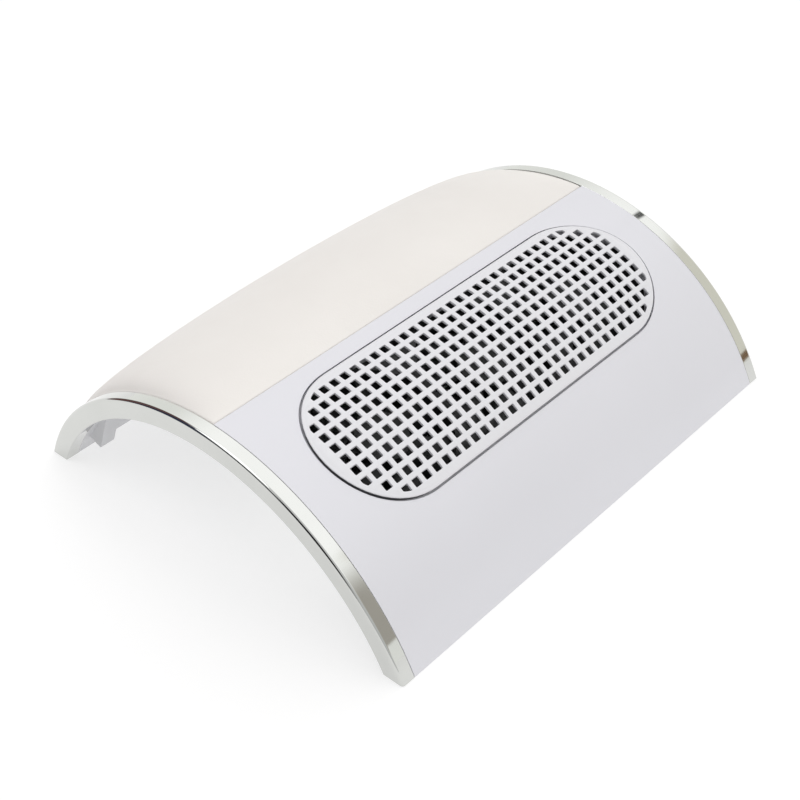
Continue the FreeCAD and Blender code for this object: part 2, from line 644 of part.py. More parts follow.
def power_box():
    """Housing under the right rear of the arch for the board, the switch and the inlet."""
    outer = box_prism(BOX_X[0], BOX_X[1], BOX_FRONT, BOX_LOW, LINER_IN - 0.3, RIB_FACE - 0.4)
    inner = box_prism(BOX_X[0] + BOX_WALL, BOX_X[1] - BOX_WALL, BOX_FRONT + BOX_WALL, BOX_LOW - 1,
                      LINER_IN - 0.3 - BOX_WALL, RIB_FACE - 0.4 - BOX_WALL)
    posts = [Part.makeCylinder(3.0, 9.0, V(x, y, BOX_LOW)).common(outer) for x, y in LID_POSTS]
    box = fused([outer.cut(inner)] + posts)
    cuts = [Part.makeCylinder(SCREW_SHANK, 8.0, V(x, y, BOX_LOW - 1)) for x, y in LID_POSTS]
    cuts += holes_at(BOX_SCREWS, SCREW_CLEAR, 125, 140)
    cuts.append(block(BOX_X[1] - 3, BOX_X[1] + 1, SWITCH_Y - 6.8, SWITCH_Y + 6.8, SWITCH_Z - 10.1, SWITCH_Z + 10.1))
    cuts.append(Part.makeCylinder(4.1, 5, V(BOX_X[1] - 4, INLET_Y, INLET_Z), V(1, 0, 0)))
    cuts.append(Part.makeCylinder(3.2, 5, V(104, BOX_FRONT - 1, 45), V(0, 1, 0)))
    return box.cut(cuts)


def box_lid():
    plate = box_prism(BOX_X[0], BOX_X[1], BOX_FRONT, LID_LOW, 200, RIB_FACE - 0.4)
    plate = plate.common(block(0, 200, 0, 200, LID_LOW, BOX_LOW - 0.1))
    board_posts = [Part.makeCylinder(2.4, 4.1, V(x, y, BOX_LOW - 0.2)) for x, y in BOARD_POSTS]
    cuts = [Part.makeCylinder(SCREW_CLEAR, 5, V(x, y, LID_LOW - 1)) for x, y in LID_POSTS]
    cuts += [Part.makeCylinder(1.0, 5, V(x, y, LID_LOW + 1)) for x, y in BOARD_POSTS]
    return fused([plate] + board_posts).cut(cuts)


def lid_screws():
    lift = LID_LOW - ARCH_Z
    return Part.makeCompound([screw(x, y, lift, lift + 8.0) for x, y in LID_POSTS])


def control_board():
    board = block(99.0, 127.0, 71.8, 94.4, 16.95, 18.55)
    return board.cut([Part.makeCylinder(1.15, 3, V(x, y, 16)) for x, y in BOARD_POSTS])


def board_screws():
    screws = []
    for x, y in BOARD_POSTS:
        head = Part.makeCylinder(2.0, 1.2, V(x, y, 18.6))
        shank = Part.makeCylinder(0.98, 5.2, V(x, y, 13.5))
        slot = block(x - 2.2, x + 2.2, y - 0.35, y + 0.35, 19.2, 20.5)
        screws.append(fused([head, shank]).cut(slot))
    return Part.makeCompound(screws)


def board_parts():
    """Two capacitors, the fan connector's header and the voltage regulator."""
    header = block(100, 108, 72.6, 79.4, 18.6, 25.6).cut(block(101, 107, 73.6, 78.4, 20.6, 26))
    capacitors = [Part.makeCylinder(4.0, 10.5, V(111, 88, 18.6)), Part.makeCylinder(3.2, 9, V(118.7, 88.3, 18.6))]
    regulator = block(108.5, 115.5, 80.6, 83.2, 18.6, 27)
    return Part.makeCompound([header, regulator] + capacitors)


def inlet_at(x, radius, length):
    return Part.makeCylinder(radius, length, V(x, INLET_Y, INLET_Z), V(1, 0, 0))


def power_inlet():
    """Round low-voltage socket, flanged outside the box, with a nut behind the wall."""
    wall_out = BOX_X[1]
    flange = inlet_at(wall_out + 0.05, 5.5, 1.8)
    barrel = inlet_at(wall_out - 6.0, 3.95, 6.2)
    rear = block(132.5, 139.2, INLET_Y - 4.6, INLET_Y + 4.6, INLET_Z - 4.6, INLET_Z + 4.6)
    return fused([flange, barrel, rear]).cut(inlet_at(wall_out - 8.0, 2.85, 12))


def inlet_pin():
    return inlet_at(BOX_X[1] - 7.9, 1.05, 8.0)


def inlet_nut():
    points = []
    for corner in range(6):
        a = math.radians(60 * corner)
        points.append(V(139.9, INLET_Y + 5.4 * math.cos(a), INLET_Z + 5.4 * math.sin(a)))
    return polygon_prism(points, V(2.9, 0, 0)).cut(inlet_at(139, 4.0, 5))


def switch_housing():
    """Panel-mount rocker housing: bezel outside the wall, body and spring feet inside."""
    y, z, wall = SWITCH_Y, SWITCH_Z, BOX_X[1]
    bezel = block(wall + 0.05, wall + 2, y - 7.6, y + 7.6, z - 10.9, z + 10.9)
    edges = [e for e in bezel.Edges if abs(e.tangentAt(e.FirstParameter).x) > 0.99]
    bezel = bezel.makeFillet(1.5, edges)
    body = block(129, wall + 1, y - 6.7, y + 6.7, z - 10, z + 10)
    well = block(134, wall + 3, y - 6.0, y + 6.0, z - 9.1, z + 9.1)
    pivot = Part.makeCylinder(1.05, 12.9, V(wall - 1, y - 6.45, z), V(0, 1, 0))
    return fused([bezel, body]).cut([well, pivot])


def switch_rocker():
    """Rocker with two sloping faces and pivot pins, resting with its lower end pressed in."""
    y, z, wall = SWITCH_Y, SWITCH_Z, BOX_X[1]
    pivot = V(wall - 1, y, z)
    outline = [(-6.5, -5.5), (2.2, -8.7), (4.2, -8.7), (2.6, 0.0), (4.2, 8.7), (2.2, 8.7), (-6.5, 5.5)]
    points = [V(pivot.x + out, y - 5.7, z + up) for out, up in outline]
    body = polygon_prism(points, V(0, 11.4, 0))
    body = body.common(Part.makeCylinder(8.8, 20, pivot - V(0, 10, 0), V(0, 1, 0)))
    pins = Part.makeCylinder(1.0, 12.7, pivot - V(0, 6.35, 0), V(0, 1, 0))
    rocker = fused([body, pins])
    rocker.rotate(pivot, V(0, 1, 0), ROCKER_TILT)
    return rocker


def switch_terminals():
    spots = (SWITCH_Z - 5, SWITCH_Z + 5)
    return Part.makeCompound([block(122, 128.95, SWITCH_Y - 2.4, SWITCH_Y + 2.4, z - 0.4, z + 0.4) for z in spots])


# ---- wiring ------------------------------------------------------------------------------
LEAD_RADIUS = 0.8
LEAD_HEIGHTS = {"left": 120.2, "middle": 118.5, "right": 116.8}
CABLE_RADIUS = 2.0
CABLE_START = V(CARRIER_X + 0.2, (CHANNEL[0] + CHANNEL[1]) / 2, 118.5)
CABLE_RUN = [V(141, -6, 66.5), V(141, 22, 63), V(120, 40, 53), V(104, 50, 45), V(104, 76, 45), V(104, 76, 26)]
CLIP_RUNS = ((1, 0.55), (2, 0.5))


def from_bay(x, y, n):
    """A point drawn in the fan bay, in the object's frame."""
    a = math.radians(BAY_ANGLE)
    return V(x, y * math.cos(a) - n * math.sin(a), ARCH_Z + y * math.sin(a) + n * math.cos(a))


def cable_points():
    start = from_bay(*CABLE_START)
    first = V(CABLE_RUN[0].x, start.y, start.z)
    return [start, first] + CABLE_RUN[1:]


def fan_leads():
    """One pair of wires from each fan, laid side by side in the carrier's channel."""
    leads = []
    for name, x in FAN_X.items():
        n = LEAD_HEIGHTS[name]
        route = [
            from_bay(x + 33, 33.0, n),
            from_bay(x + 33, CABLE_START.y, n),
            from_bay(CARRIER_X + 0.1, CABLE_START.y, n),
        ]
        solid, radii = tube(route, LEAD_RADIUS)
        print("fan lead", name, "arc radii", radii)
        leads.append(solid)
    return Part.makeCompound(leads)


def fan_cable():
    solid, radii = tube(cable_points(), CABLE_RADIUS)
    print("fan cable arc radii", radii)
    return solid


def cable_clips():
    """P-clips that hold the cable to the liner."""
    points = cable_points()
    clips = []
    for run, share in CLIP_RUNS:
        along = points[run + 1] - points[run]
        centre = points[run] + along * share
        along.normalize()
        outwards = V(0, centre.y, centre.z - ARCH_Z)
        reach = LINER_IN - 0.1 - outwards.Length
        outwards.normalize()
        loop = Part.makeCylinder(CABLE_RADIUS + 1.3, 5, centre - along * 2.5, along)
        stem = Part.makeCylinder(2.2, reach, centre, outwards)
        hole = Part.makeCylinder(CABLE_RADIUS + 0.15, 12, centre - along * 6, along)
        clips.append(inside_arch(fused([loop, stem]).cut(hole), LINER_IN - 0.1))
    return Part.makeCompound(clips)


def cable_grommet():
    centre = V(104, BOX_FRONT, 45)
    sleeve = Part.makeCylinder(3.15, 4.4, centre - V(0, 1.2, 0), V(0, 1, 0))
    flanges = [Part.makeCylinder(4.3, 1.15, centre + V(0, shift, 0), V(0, 1, 0)) for shift in (-1.2, 2.05)]
    hole = Part.makeCylinder(CABLE_RADIUS + 0.05, 8, centre - V(0, 3, 0), V(0, 1, 0))
    return fused([sleeve] + flanges).cut(hole)


def board_leads():
    """Wires from the switch's two blades and from the inlet down to the board."""
    routes = [
        [V(121.9, SWITCH_Y, 39), V(113, SWITCH_Y, 39), V(113, SWITCH_Y, 18.6)],
        [V(121.9, SWITCH_Y, 29), V(117.5, SWITCH_Y, 29), V(117.5, SWITCH_Y, 18.6)],
        [V(132.4, INLET_Y, INLET_Z), V(125.3, INLET_Y, INLET_Z), V(125.3, INLET_Y, 18.6)],
    ]
    solids = []
    for route in routes:
        solid, radii = tube(route, LEAD_RADIUS)
        print("board lead arc radii", radii)
        solids.append(solid)
    return Part.makeCompound(solids)


# ---- dust bag ----------------------------------------------------------------------------
def bag_body(inset, open_top):
    """The bag's outer or inner form: a mouth round the collar and a pouch that runs rearwards."""
    top = BAG_MOUTH[1] + (1 if open_top else 0)
    mouth_x, well_x, half_y = BAG_MOUTH_X - inset, BAG_WELL_X - inset, BAG_MOUTH_Y - inset
    mouth = swing(bay(-mouth_x, mouth_x, -half_y, half_y, BAG_MOUTH[0] + inset, top), BAY_ANGLE)
    well = swing(bay(-well_x, well_x, -half_y, half_y, BAG_WELL[0], BAG_WELL[1]), BAY_ANGLE)
    points = [V(inset - BAG_X, y, z) for y, z in BAG_POUCH]
    section = Part.makePolygon(points + [points[0]])
    if inset:
        section = section.makeOffset2D(-inset)
    pouch = Part.Face(section).extrude(V(2 * (BAG_X - inset), 0, 0))
    return above(fused([mouth, well, pouch]), BAG_LOW + inset)


def dust_bag():
    return bag_body(0.0, False).cut(bag_body(BAG_WALL, True))


def bag_elastic():
    """Elastic band round the bag's mouth, just above the collar's bead."""
    in_x, in_y = BAG_MOUTH_X + FIT_GAP, BAG_MOUTH_Y + FIT_GAP
    out_x, out_y = in_x + ELASTIC_THICK, in_y + ELASTIC_THICK
    outer = bay(-out_x, out_x, -out_y, out_y, ELASTIC[0], ELASTIC[1])
    inner = bay(-in_x, in_x, -in_y, in_y, ELASTIC[0] - 1, ELASTIC[1] + 1)
    return swing(outer.cut(inner), BAY_ANGLE)


# ---- export ------------------------------------------------------------------------------
def all_parts():
    parts = {
        "upper_shell": upper_shell(),
        "lower_shell": lower_shell(),
        "left_trim": trim(-1),
        "right_trim": trim(1),
        "rubber_feet": rubber_feet(),
        "hand_rest_board": hand_rest_board(),
        "cushion_foam": cushion_foam(),
        "cushion_cover": cushion_cover(),
        "intake_grille": intake_grille(),
        "fan_carrier": fan_carrier(),
        "duct_gasket": duct_gasket(),
        "fan_screws": fan_screws(),
        "carrier_screws": carrier_screws(),
        "shell_screws": shell_screws(),
        "pad_screws": pad_screws(),
        "box_screws": box_screws(),
        "power_box": power_box(),
        "box_lid": box_lid(),
        "lid_screws": lid_screws(),
        "control_board": control_board(),
        "board_screws": board_screws(),
        "board_parts": board_parts(),
        "power_inlet": power_inlet(),
        "inlet_pin": inlet_pin(),
        "inlet_nut": inlet_nut(),
        "switch_housing": switch_housing(),
        "switch_rocker": switch_rocker(),
        "switch_terminals": switch_terminals(),
        "fan_leads": fan_leads(),
        "fan_cable": fan_cable(),
        "cable_clips": cable_clips(),
        "cable_grommet": cable_grommet(),
        "board_leads": board_leads(),
        "dust_bag": dust_bag(),
        "bag_elastic": bag_elastic(),
    }
    makers = {
        "frame": fan_frame,
        "impeller": fan_impeller,
        "rotor_ring": fan_rotor_ring,
        "shaft": fan_shaft,
        "bearings": fan_bearings,
        "stator": fan_stator,
        "coils": fan_coils,
    }
    for place, x in FAN_X.items():
        for piece, make in makers.items():
            parts[f"fan_{piece}_{place}"] = make(x)
    return parts


def main():
    os.makedirs("parts", exist_ok=True)
    for name, shape in all_parts().items():
        if not shape.isValid():
            print("not valid:", name)
        shape.exportStep(f"parts/{name}.step")
        print(f"{name}: {len(shape.Solids)} solids, {shape.Volume / 1000:.2f} cm3")


main()
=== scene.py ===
import json
import math

import bmesh
import bpy
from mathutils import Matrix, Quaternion, Vector


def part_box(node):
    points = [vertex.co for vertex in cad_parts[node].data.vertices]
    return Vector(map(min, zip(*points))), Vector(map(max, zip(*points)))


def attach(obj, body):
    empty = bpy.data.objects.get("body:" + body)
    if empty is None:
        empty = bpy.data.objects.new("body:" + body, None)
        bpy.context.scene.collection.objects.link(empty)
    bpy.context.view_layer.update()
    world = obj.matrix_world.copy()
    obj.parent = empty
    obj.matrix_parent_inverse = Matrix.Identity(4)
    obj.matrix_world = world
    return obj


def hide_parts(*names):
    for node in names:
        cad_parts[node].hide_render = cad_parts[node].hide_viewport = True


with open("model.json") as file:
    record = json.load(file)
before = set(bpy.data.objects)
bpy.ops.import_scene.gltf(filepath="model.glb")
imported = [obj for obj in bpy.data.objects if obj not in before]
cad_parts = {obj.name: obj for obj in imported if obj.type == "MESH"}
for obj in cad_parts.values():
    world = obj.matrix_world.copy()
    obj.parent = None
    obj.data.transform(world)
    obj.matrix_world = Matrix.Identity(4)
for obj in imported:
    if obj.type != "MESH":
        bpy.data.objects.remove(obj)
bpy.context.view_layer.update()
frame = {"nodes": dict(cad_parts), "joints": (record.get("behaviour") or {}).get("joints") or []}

# The nail dust collector's looks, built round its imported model.  Metres throughout; the arch's
# axis runs parallel to X, and "turn" is an angle about it from the crown, positive to the front.

MM = 0.001
SCENE = bpy.context.scene

# ---- sizes read from the frame -----------------------------------------------------------
TRIM_LOW, TRIM_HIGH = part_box("right_trim")
SHELL_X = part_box("upper_shell")[1].x
FOOT_Z = TRIM_LOW.z
HALF_SPAN = TRIM_HIGH.y
RISE = TRIM_HIGH.z - FOOT_Z
RADIUS = (HALF_SPAN ** 2 + RISE ** 2) / (2 * RISE)
AXIS_Z = TRIM_HIGH.z - RADIUS
FOOT_TURN = math.asin(HALF_SPAN / RADIUS)
JOINTS = {joint["name"]: joint for joint in frame["joints"]}
BAY_UP = Vector(JOINTS["fan_spin_middle"]["axis"]).normalized()
BAY_TURN = math.atan2(-BAY_UP.y, BAY_UP.z)
BAY_BACK = Vector((0, math.cos(BAY_TURN), math.sin(BAY_TURN)))


def on_arch(x, turn, height=0.0):
    """A point over the arch's skin."""
    reach = RADIUS + height
    return Vector((x, -reach * math.sin(turn), AXIS_Z + reach * math.cos(turn)))


def in_bay(x, y, n):
    """A point in the fan bay: y towards the rear, n the height over the arch's axis."""
    return Vector((x, 0, AXIS_Z)) + BAY_BACK * y + BAY_UP * n


# ---- node trees --------------------------------------------------------------------------
class Nodes:
    """Short-hand for filling one node tree."""

    def __init__(self, tree):
        self.tree = tree
        tree.nodes.clear()

    def add(self, kind, inputs=None, **settings):
        node = self.tree.nodes.new(kind)
        for name, value in settings.items():
            setattr(node, name, value)
        for name, value in (inputs or {}).items():
            self.feed(node.inputs[name], value)
        return node

    def feed(self, socket, value):
        if isinstance(value, bpy.types.NodeSocket):
            self.tree.links.new(value, socket)
        else:
            socket.default_value = value

    def math(self, operation, first, second=0.0):
        node = self.add("ShaderNodeMath", operation=operation)
        self.feed(node.inputs[0], first)
        self.feed(node.inputs[1], second)
        return node.outputs[0]

    def noise(self, place, scale, detail=3.0, roughness=0.5, distortion=0.0):
        inputs = {"Vector": place, "Scale": scale, "Detail": detail, "Roughness": roughness,
                  "Distortion": distortion}
        return self.add("ShaderNodeTexNoise", inputs).outputs["Fac"]

    def cells(self, place, scale, feature="F1"):
        node = self.add("ShaderNodeTexVoronoi", {"Vector": place, "Scale": scale}, feature=feature)
        return node.outputs["Distance"]

    def spread(self, value, low, high, start=0.0, end=1.0, smooth=False):
        """Map value from start..end to low..high."""
        kind = "SMOOTHSTEP" if smooth else "LINEAR"
        inputs = {"Value": value, "From Min": start, "From Max": end, "To Min": low, "To Max": high}
        return self.add("ShaderNodeMapRange", inputs, interpolation_type=kind).outputs["Result"]

    def tones(self, value, stops):
        """Colours at places along a ramp."""
        node = self.add("ShaderNodeValToRGB", {"Fac": value})
        ramp = node.color_ramp
        ramp.elements[0].position, ramp.elements[1].position = stops[0][0], stops[-1][0]
        for place, _ in stops[1:-1]:
            ramp.elements.new(place)
        for element, (_, colour) in zip(ramp.elements, stops):
            element.color = (*colour, 1.0)
        return node.outputs["Color"]

    def mixed(self, share, under, over):
        node = self.add("ShaderNodeMixRGB")
        for socket, value in zip(node.inputs, (share, under, over)):
            self.feed(socket, value)
        return node.outputs["Color"]

    def bump(self, height, depth, strength=1.0, onto=None):
        inputs = {"Height": height, "Distance": depth, "Strength": strength}
        if onto is not None:
            inputs["Normal"] = onto
        return self.add("ShaderNodeBump", inputs).outputs["Normal"]


class Finish(Nodes):
    """A material: uniform values sit on the shader, and textures drive colour, gloss and relief."""

    def __init__(self, name, **uniform):
        self.material = bpy.data.materials.new(name)
        self.material.use_nodes = True
        super().__init__(self.material.node_tree)
        self.place = self.add("ShaderNodeTexCoord").outputs["Object"]
        inputs = {}
        for word, value in uniform.items():
            inputs[word.replace("_", " ").title().replace("Ior", "IOR")] = value
        self.shader = self.add("ShaderNodeBsdfPrincipled", inputs)
        self.add("ShaderNodeOutputMaterial", {"Surface": self.shader.outputs["BSDF"]})

    def colour(self, socket):
        self.feed(self.shader.inputs["Base Color"], socket)

    def gloss(self, value, low, high):
        self.feed(self.shader.inputs["Roughness"], self.spread(value, low, high, 0.3, 0.7))

    def relief(self, normal):
        self.feed(self.shader.inputs["Normal"], normal)

    def stretched(self, x, y, z):
        """The object's coordinates scaled along each axis."""
        node = self.add("ShaderNodeMapping", {"Vector": self.place, "Scale": (x, y, z)})
        return node.outputs["Vector"]

    def along(self, direction, pitch):
        """A wave, 0 to 1, that repeats along a direction."""
        dot = self.add("ShaderNodeVectorMath", {0: self.place, 1: tuple(direction)}, operation="DOT_PRODUCT")
        turns = self.math("MULTIPLY", dot.outputs["Value"], 2 * math.pi / pitch)
        return self.spread(self.math("SINE", turns), 0.0, 1.0, -1.0, 1.0)


# Near-black grey painted into the grille rim's groove as shade under its lip.
PAINTED_SHADE_GREY = (0.06, 0.06, 0.065, 1)


def moulding(name, light, dark, rough, patch=9.0, grain=1400.0, depth=0.02, painted_shade=False, **uniform):
    """Moulded plastic: faint flow marks in the colour, a fine even grain, and near-black painted shade where
    marked.
    """
    look = Finish(name, **uniform)
    flow = look.noise(look.place, patch, 4.0)
    tone = look.tones(flow, [(0.35, dark), (0.65, light)])
    if painted_shade:
        # Painted shade: the marked groove is mixed towards near-black grey.
        marked = look.add("ShaderNodeAttribute", attribute_name="painted_shade").outputs["Fac"]
        tone = look.mixed(marked, tone, PAINTED_SHADE_GREY)
    look.colour(tone)
    look.gloss(look.noise(look.place, patch * 5), *rough)
    skin = look.bump(look.noise(look.place, grain, 2.0), depth * MM, 0.6)
    look.relief(look.bump(look.noise(look.place, patch * 3), depth * 6 * MM, 0.12, skin))
    return look.material


def plating():
    """Bright plating over a moulding: a mirror with a faint ripple and fine wipe marks."""
    look = Finish("bright_plating", metallic=1.0)
    haze = look.noise(look.place, 35.0, 5.0)
    look.colour(look.tones(haze, [(0.3, (0.615, 0.623, 0.602)), (0.7, (0.64, 0.646, 0.626))]))
    wipes = look.noise(look.stretched(60, 900, 900), 1.0, 4.0)
    look.gloss(wipes, 0.035, 0.085)
    look.relief(look.bump(look.noise(look.place, 55.0, 2.0), 0.06 * MM, 0.25))
    return look.material


def soft_leather():
    """Synthetic leather: warm off-white, fine pebble grain, shallow pores, soft sheen."""
    look = Finish("soft_leather", sheen_weight=0.12, sheen_roughness=0.5, specular_ior_level=0.4)
    drift = look.noise(look.place, 14.0, 4.0)
    look.colour(look.tones(drift, [(0.3, (0.84, 0.807, 0.777)), (0.7, (0.875, 0.845, 0.815))]))
    look.gloss(look.noise(look.place, 120.0, 5.0), 0.42, 0.56)
    warped = look.add("ShaderNodeVectorMath", {0: look.place}, operation="ADD")
    push = look.add("ShaderNodeTexNoise", {"Vector": look.place, "Scale": 300.0})
    shift = look.add("ShaderNodeVectorMath", {0: push.outputs["Color"], 3: 0.0012}, operation="SCALE")
    look.feed(warped.inputs[1], shift.outputs["Vector"])
    pebbles = look.cells(warped.outputs["Vector"], 1100.0, "SMOOTH_F1")
    grain = look.bump(pebbles, 0.09 * MM, 0.35)
    creases = look.bump(look.noise(look.place, 90.0, 5.0, 0.6, 0.8), 0.25 * MM, 0.25, grain)
    look.relief(creases)
    return look.material


def open_foam():
    """Yellowish foam with open cells."""
    look = Finish("open_foam")
    cells = look.cells(look.place, 900.0)
    look.colour(look.tones(cells, [(0.1, (0.52, 0.49, 0.27)), (0.6, (0.82, 0.79, 0.52))]))
    look.gloss(look.noise(look.place, 200.0), 0.85, 0.98)
    look.relief(look.bump(cells, 0.5 * MM, 0.8))
    return look.material


def zinc_plate():
    """Zinc-plated steel with drawing marks across it."""
    look = Finish("zinc_plate", metallic=1.0)
    clouds = look.noise(look.place, 260.0, 4.0)
    look.colour(look.tones(clouds, [(0.3, (0.55, 0.56, 0.58)), (0.7, (0.70, 0.70, 0.69))]))
    marks = look.noise(look.stretched(400, 400, 3000), 1.0, 3.0)
    look.gloss(marks, 0.22, 0.4)
    look.relief(look.bump(marks, 0.02 * MM, 0.5))
    return look.material


def layered_core():
    """Lamination edges along the fan's axis."""
    look = Finish("layered_core", metallic=0.9)
    sheets = look.along(BAY_UP, 0.5 * MM)
    look.colour(look.tones(sheets, [(0.2, (0.16, 0.16, 0.17)), (0.8, (0.42, 0.42, 0.43))]))
    look.gloss(look.noise(look.place, 500.0), 0.35, 0.6)
    look.relief(look.bump(sheets, 0.08 * MM, 0.8))
    return look.material


def wound_copper():
    """Enamelled wire laid in turns."""
    look = Finish("wound_copper", metallic=0.85, coat_weight=0.5, coat_roughness=0.15)
    turns = look.along(BAY_UP, 0.42 * MM)
    look.colour(look.tones(turns, [(0.1, (0.30, 0.10, 0.04)), (0.8, (0.78, 0.36, 0.17))]))
    look.gloss(look.noise(look.place, 700.0), 0.2, 0.35)
    look.relief(look.bump(turns, 0.15 * MM, 0.9))
    return look.material


def circuit_green():
    """Solder mask over copper tracks."""
    look = Finish("circuit_green", coat_weight=0.6, coat_roughness=0.12)
    inputs = {"Vector": look.stretched(1, 1, 0), "Scale": 260.0, "Mortar Size": 0.05, "Brick Width": 1.7,
              "Row Height": 0.55}
    tracks = look.add("ShaderNodeTexBrick", inputs, offset=0.37).outputs["Fac"]
    look.colour(look.tones(tracks, [(0.3, (0.03, 0.17, 0.07)), (0.7, (0.10, 0.33, 0.14))]))
    look.gloss(look.noise(look.place, 300.0), 0.25, 0.4)
    look.relief(look.bump(tracks, 0.05 * MM, 0.6))
    return look.material


def plated_contact():
    """Brass contacts, brushed fine."""
    look = Finish("plated_contact", metallic=1.0)
    tarnish = look.noise(look.place, 400.0, 4.0)
    look.colour(look.tones(tarnish, [(0.3, (0.62, 0.50, 0.27)), (0.7, (0.86, 0.74, 0.46))]))
    look.gloss(look.noise(look.place, 900.0), 0.18, 0.38)
    look.relief(look.bump(look.noise(look.place, 1500.0), 0.02 * MM, 0.5))
    return look.material


def filter_cloth():
    """Non-woven cloth: pressed fibres in every direction with a fine point bond."""
    look = Finish("filter_cloth", sheen_weight=0.35, sheen_roughness=0.6)
    fibres = look.noise(look.place, 1600.0, 6.0, 0.75, 2.5)
    look.colour(look.tones(fibres, [(0.3, (0.66, 0.665, 0.67)), (0.7, (0.84, 0.84, 0.83))]))
    look.gloss(fibres, 0.75, 0.95)
    bonds = look.cells(look.place, 520.0)
    fuzz = look.bump(fibres, 0.18 * MM, 0.7)
    look.relief(look.bump(bonds, 0.15 * MM, 0.5, fuzz))
    return look.material


def woven_elastic():
    """Flat elastic tape: ribs along its length, crossed by the weft."""
    look = Finish("woven_elastic", sheen_weight=0.3, sheen_roughness=0.5)
    ribs = look.along(BAY_UP, 0.8 * MM)
    weft = look.along((1, 0, 0), 1.1 * MM)
    weave = look.math("MULTIPLY", ribs, look.spread(weft, 0.6, 1.0))
    look.colour(look.tones(weave, [(0.1, (0.62, 0.62, 0.61)), (0.8, (0.86, 0.86, 0.85))]))
    look.gloss(look.noise(look.place, 900.0), 0.7, 0.9)
    look.relief(look.bump(weave, 0.2 * MM, 0.8))
    return look.material


def make_finishes():
    """One finish for each of the record's material slots."""
    return {
        "shell_white": moulding("white_casing", (0.76, 0.757, 0.805), (0.75, 0.747, 0.793), (0.31, 0.36),
                                depth=0.008, coat_weight=0.25, coat_roughness=0.12),
        # The grille's finish carries painted shade in its rim's groove.
        "grille_white": moulding("white_grille", (0.775, 0.772, 0.806), (0.765, 0.762, 0.794), (0.31, 0.38),
                                 depth=0.01, painted_shade=True, coat_weight=0.15, coat_roughness=0.2),
        # The liner's white is greyed below the casing's, as painted shade for its place under the arch.
        "liner_white": moulding("white_liner_painted_shade", (0.66, 0.66, 0.675), (0.635, 0.635, 0.65), (0.4, 0.55),
                                grain=900.0, depth=0.05),
        "trim_chrome": plating(),
        "pad_leather": soft_leather(),
        "pad_foam": open_foam(),
        "board_grey": moulding("grey_board", (0.42, 0.42, 0.43), (0.33, 0.33, 0.34), (0.5, 0.7), depth=0.05),
        "fan_black": moulding("black_fan", (0.030, 0.030, 0.032), (0.018, 0.018, 0.019), (0.25, 0.4),
                              patch=40.0, depth=0.03),
        "duct_black": moulding("black_duct", (0.040, 0.040, 0.043), (0.024, 0.024, 0.026), (0.45, 0.65),
                               grain=800.0, depth=0.06),
        "steel": zinc_plate(),
        "core_steel": layered_core(),
        "copper": wound_copper(),
        "rubber_black": moulding("black_rubber", (0.035, 0.035, 0.035), (0.022, 0.022, 0.022), (0.7, 0.9),
                                 patch=60.0, grain=1800.0, depth=0.08),
        "board_green": circuit_green(),
        "parts_black": moulding("black_parts", (0.06, 0.06, 0.07), (0.03, 0.03, 0.035), (0.35, 0.5),
                                patch=80.0, depth=0.04),
        "contact_brass": plated_contact(),
        "switch_black": moulding("black_switch", (0.028, 0.028, 0.028), (0.018, 0.018, 0.018), (0.15, 0.3),
                                 patch=60.0, depth=0.02, coat_weight=0.3, coat_roughness=0.08),
        "wire_black": moulding("black_sheath", (0.045, 0.045, 0.05), (0.03, 0.03, 0.034), (0.35, 0.5),
                               patch=120.0, depth=0.02),
        "bag_fabric": filter_cloth(),
        "elastic_white": woven_elastic(),
    }


# ---- camera, light and floor -------------------------------------------------------------
CAMERA_AT = Vector((-0.48863, -0.44997, 0.53038))
LOOKS_AT = Vector((-0.05106, -0.03817, 0.06000))
CAMERA_ROLL = math.radians(-1.968)
LENS_MM = 65.37
SENSOR_MM = 36.0


def make_camera():
    """A long lens from the front left, a little over the arch."""
    data = bpy.data.cameras.new("camera")
    data.lens = LENS_MM
    data.sensor_width = SENSOR_MM
    data.clip_start = 0.01
    camera = bpy.data.objects.new("camera", data)
    SCENE.collection.objects.link(camera)
    camera.location = CAMERA_AT
    aim = (LOOKS_AT - CAMERA_AT).to_track_quat("-Z", "Y")
    camera.rotation_mode = "QUATERNION"
    camera.rotation_quaternion = aim @ Quaternion((0, 0, 1), CAMERA_ROLL)
    SCENE.camera = camera


# Patches of the room that the bright trims reflect, each laid over those before it.  A colour, or None
# for the cabinets' tones, is followed by the patch's lower and upper border, as heights over the horizon,
# and its first and last border, as bearings clockwise from the rear seen from above, all in degrees.
# Each border is a pair: the place where the patch is gone and the place where it is full.
FROM_FLOOR = (0.0, 1.0)
PATCHES = {
    "shaded corner": ((0.50, 0.475, 0.43, 1), (6.8, 7.4), (42, 27), (133, 148), (177, 168)),
    "side wall": ((0.90, 0.885, 0.79, 1), (0.4, 1.2), (44, 38), (92, 108), (141, 137)),
    "doorway": ((0.25, 0.165, 0.10, 1), (0.4, 1.2), (4.2, 3.4), (129, 131), (137, 135)),
    "lamp stand": ((0.12, 0.12, 0.12, 1), (41, 42), (45, 43.5), (82, 83.5), (87, 85.5)),
    "dark skirting": (None, FROM_FLOOR, (15, 12), (-109, -105), (15, 5)),
    "near cabinet": (None, FROM_FLOOR, (54, 44), (-56, -46), (21, 15)),
    "middle cabinet": (None, FROM_FLOOR, (34, 26), (-92, -86), (-46, -52)),
    "far cabinet": (None, FROM_FLOOR, (38, 30), (-109, -105), (-84, -90)),
    "far shelf": (None, (13, 15), (50, 44), (-128, -124), (-86, -92)),
}
CABINET_TONES = [
    (0.0, (0.03, 0.03, 0.03)), (0.42, (0.04, 0.045, 0.06)), (0.55, (0.04, 0.05, 0.09)),
    (0.66, (0.04, 0.04, 0.06)), (0.74, (0.18, 0.09, 0.085)), (1.0, (0.10, 0.09, 0.08)),
]


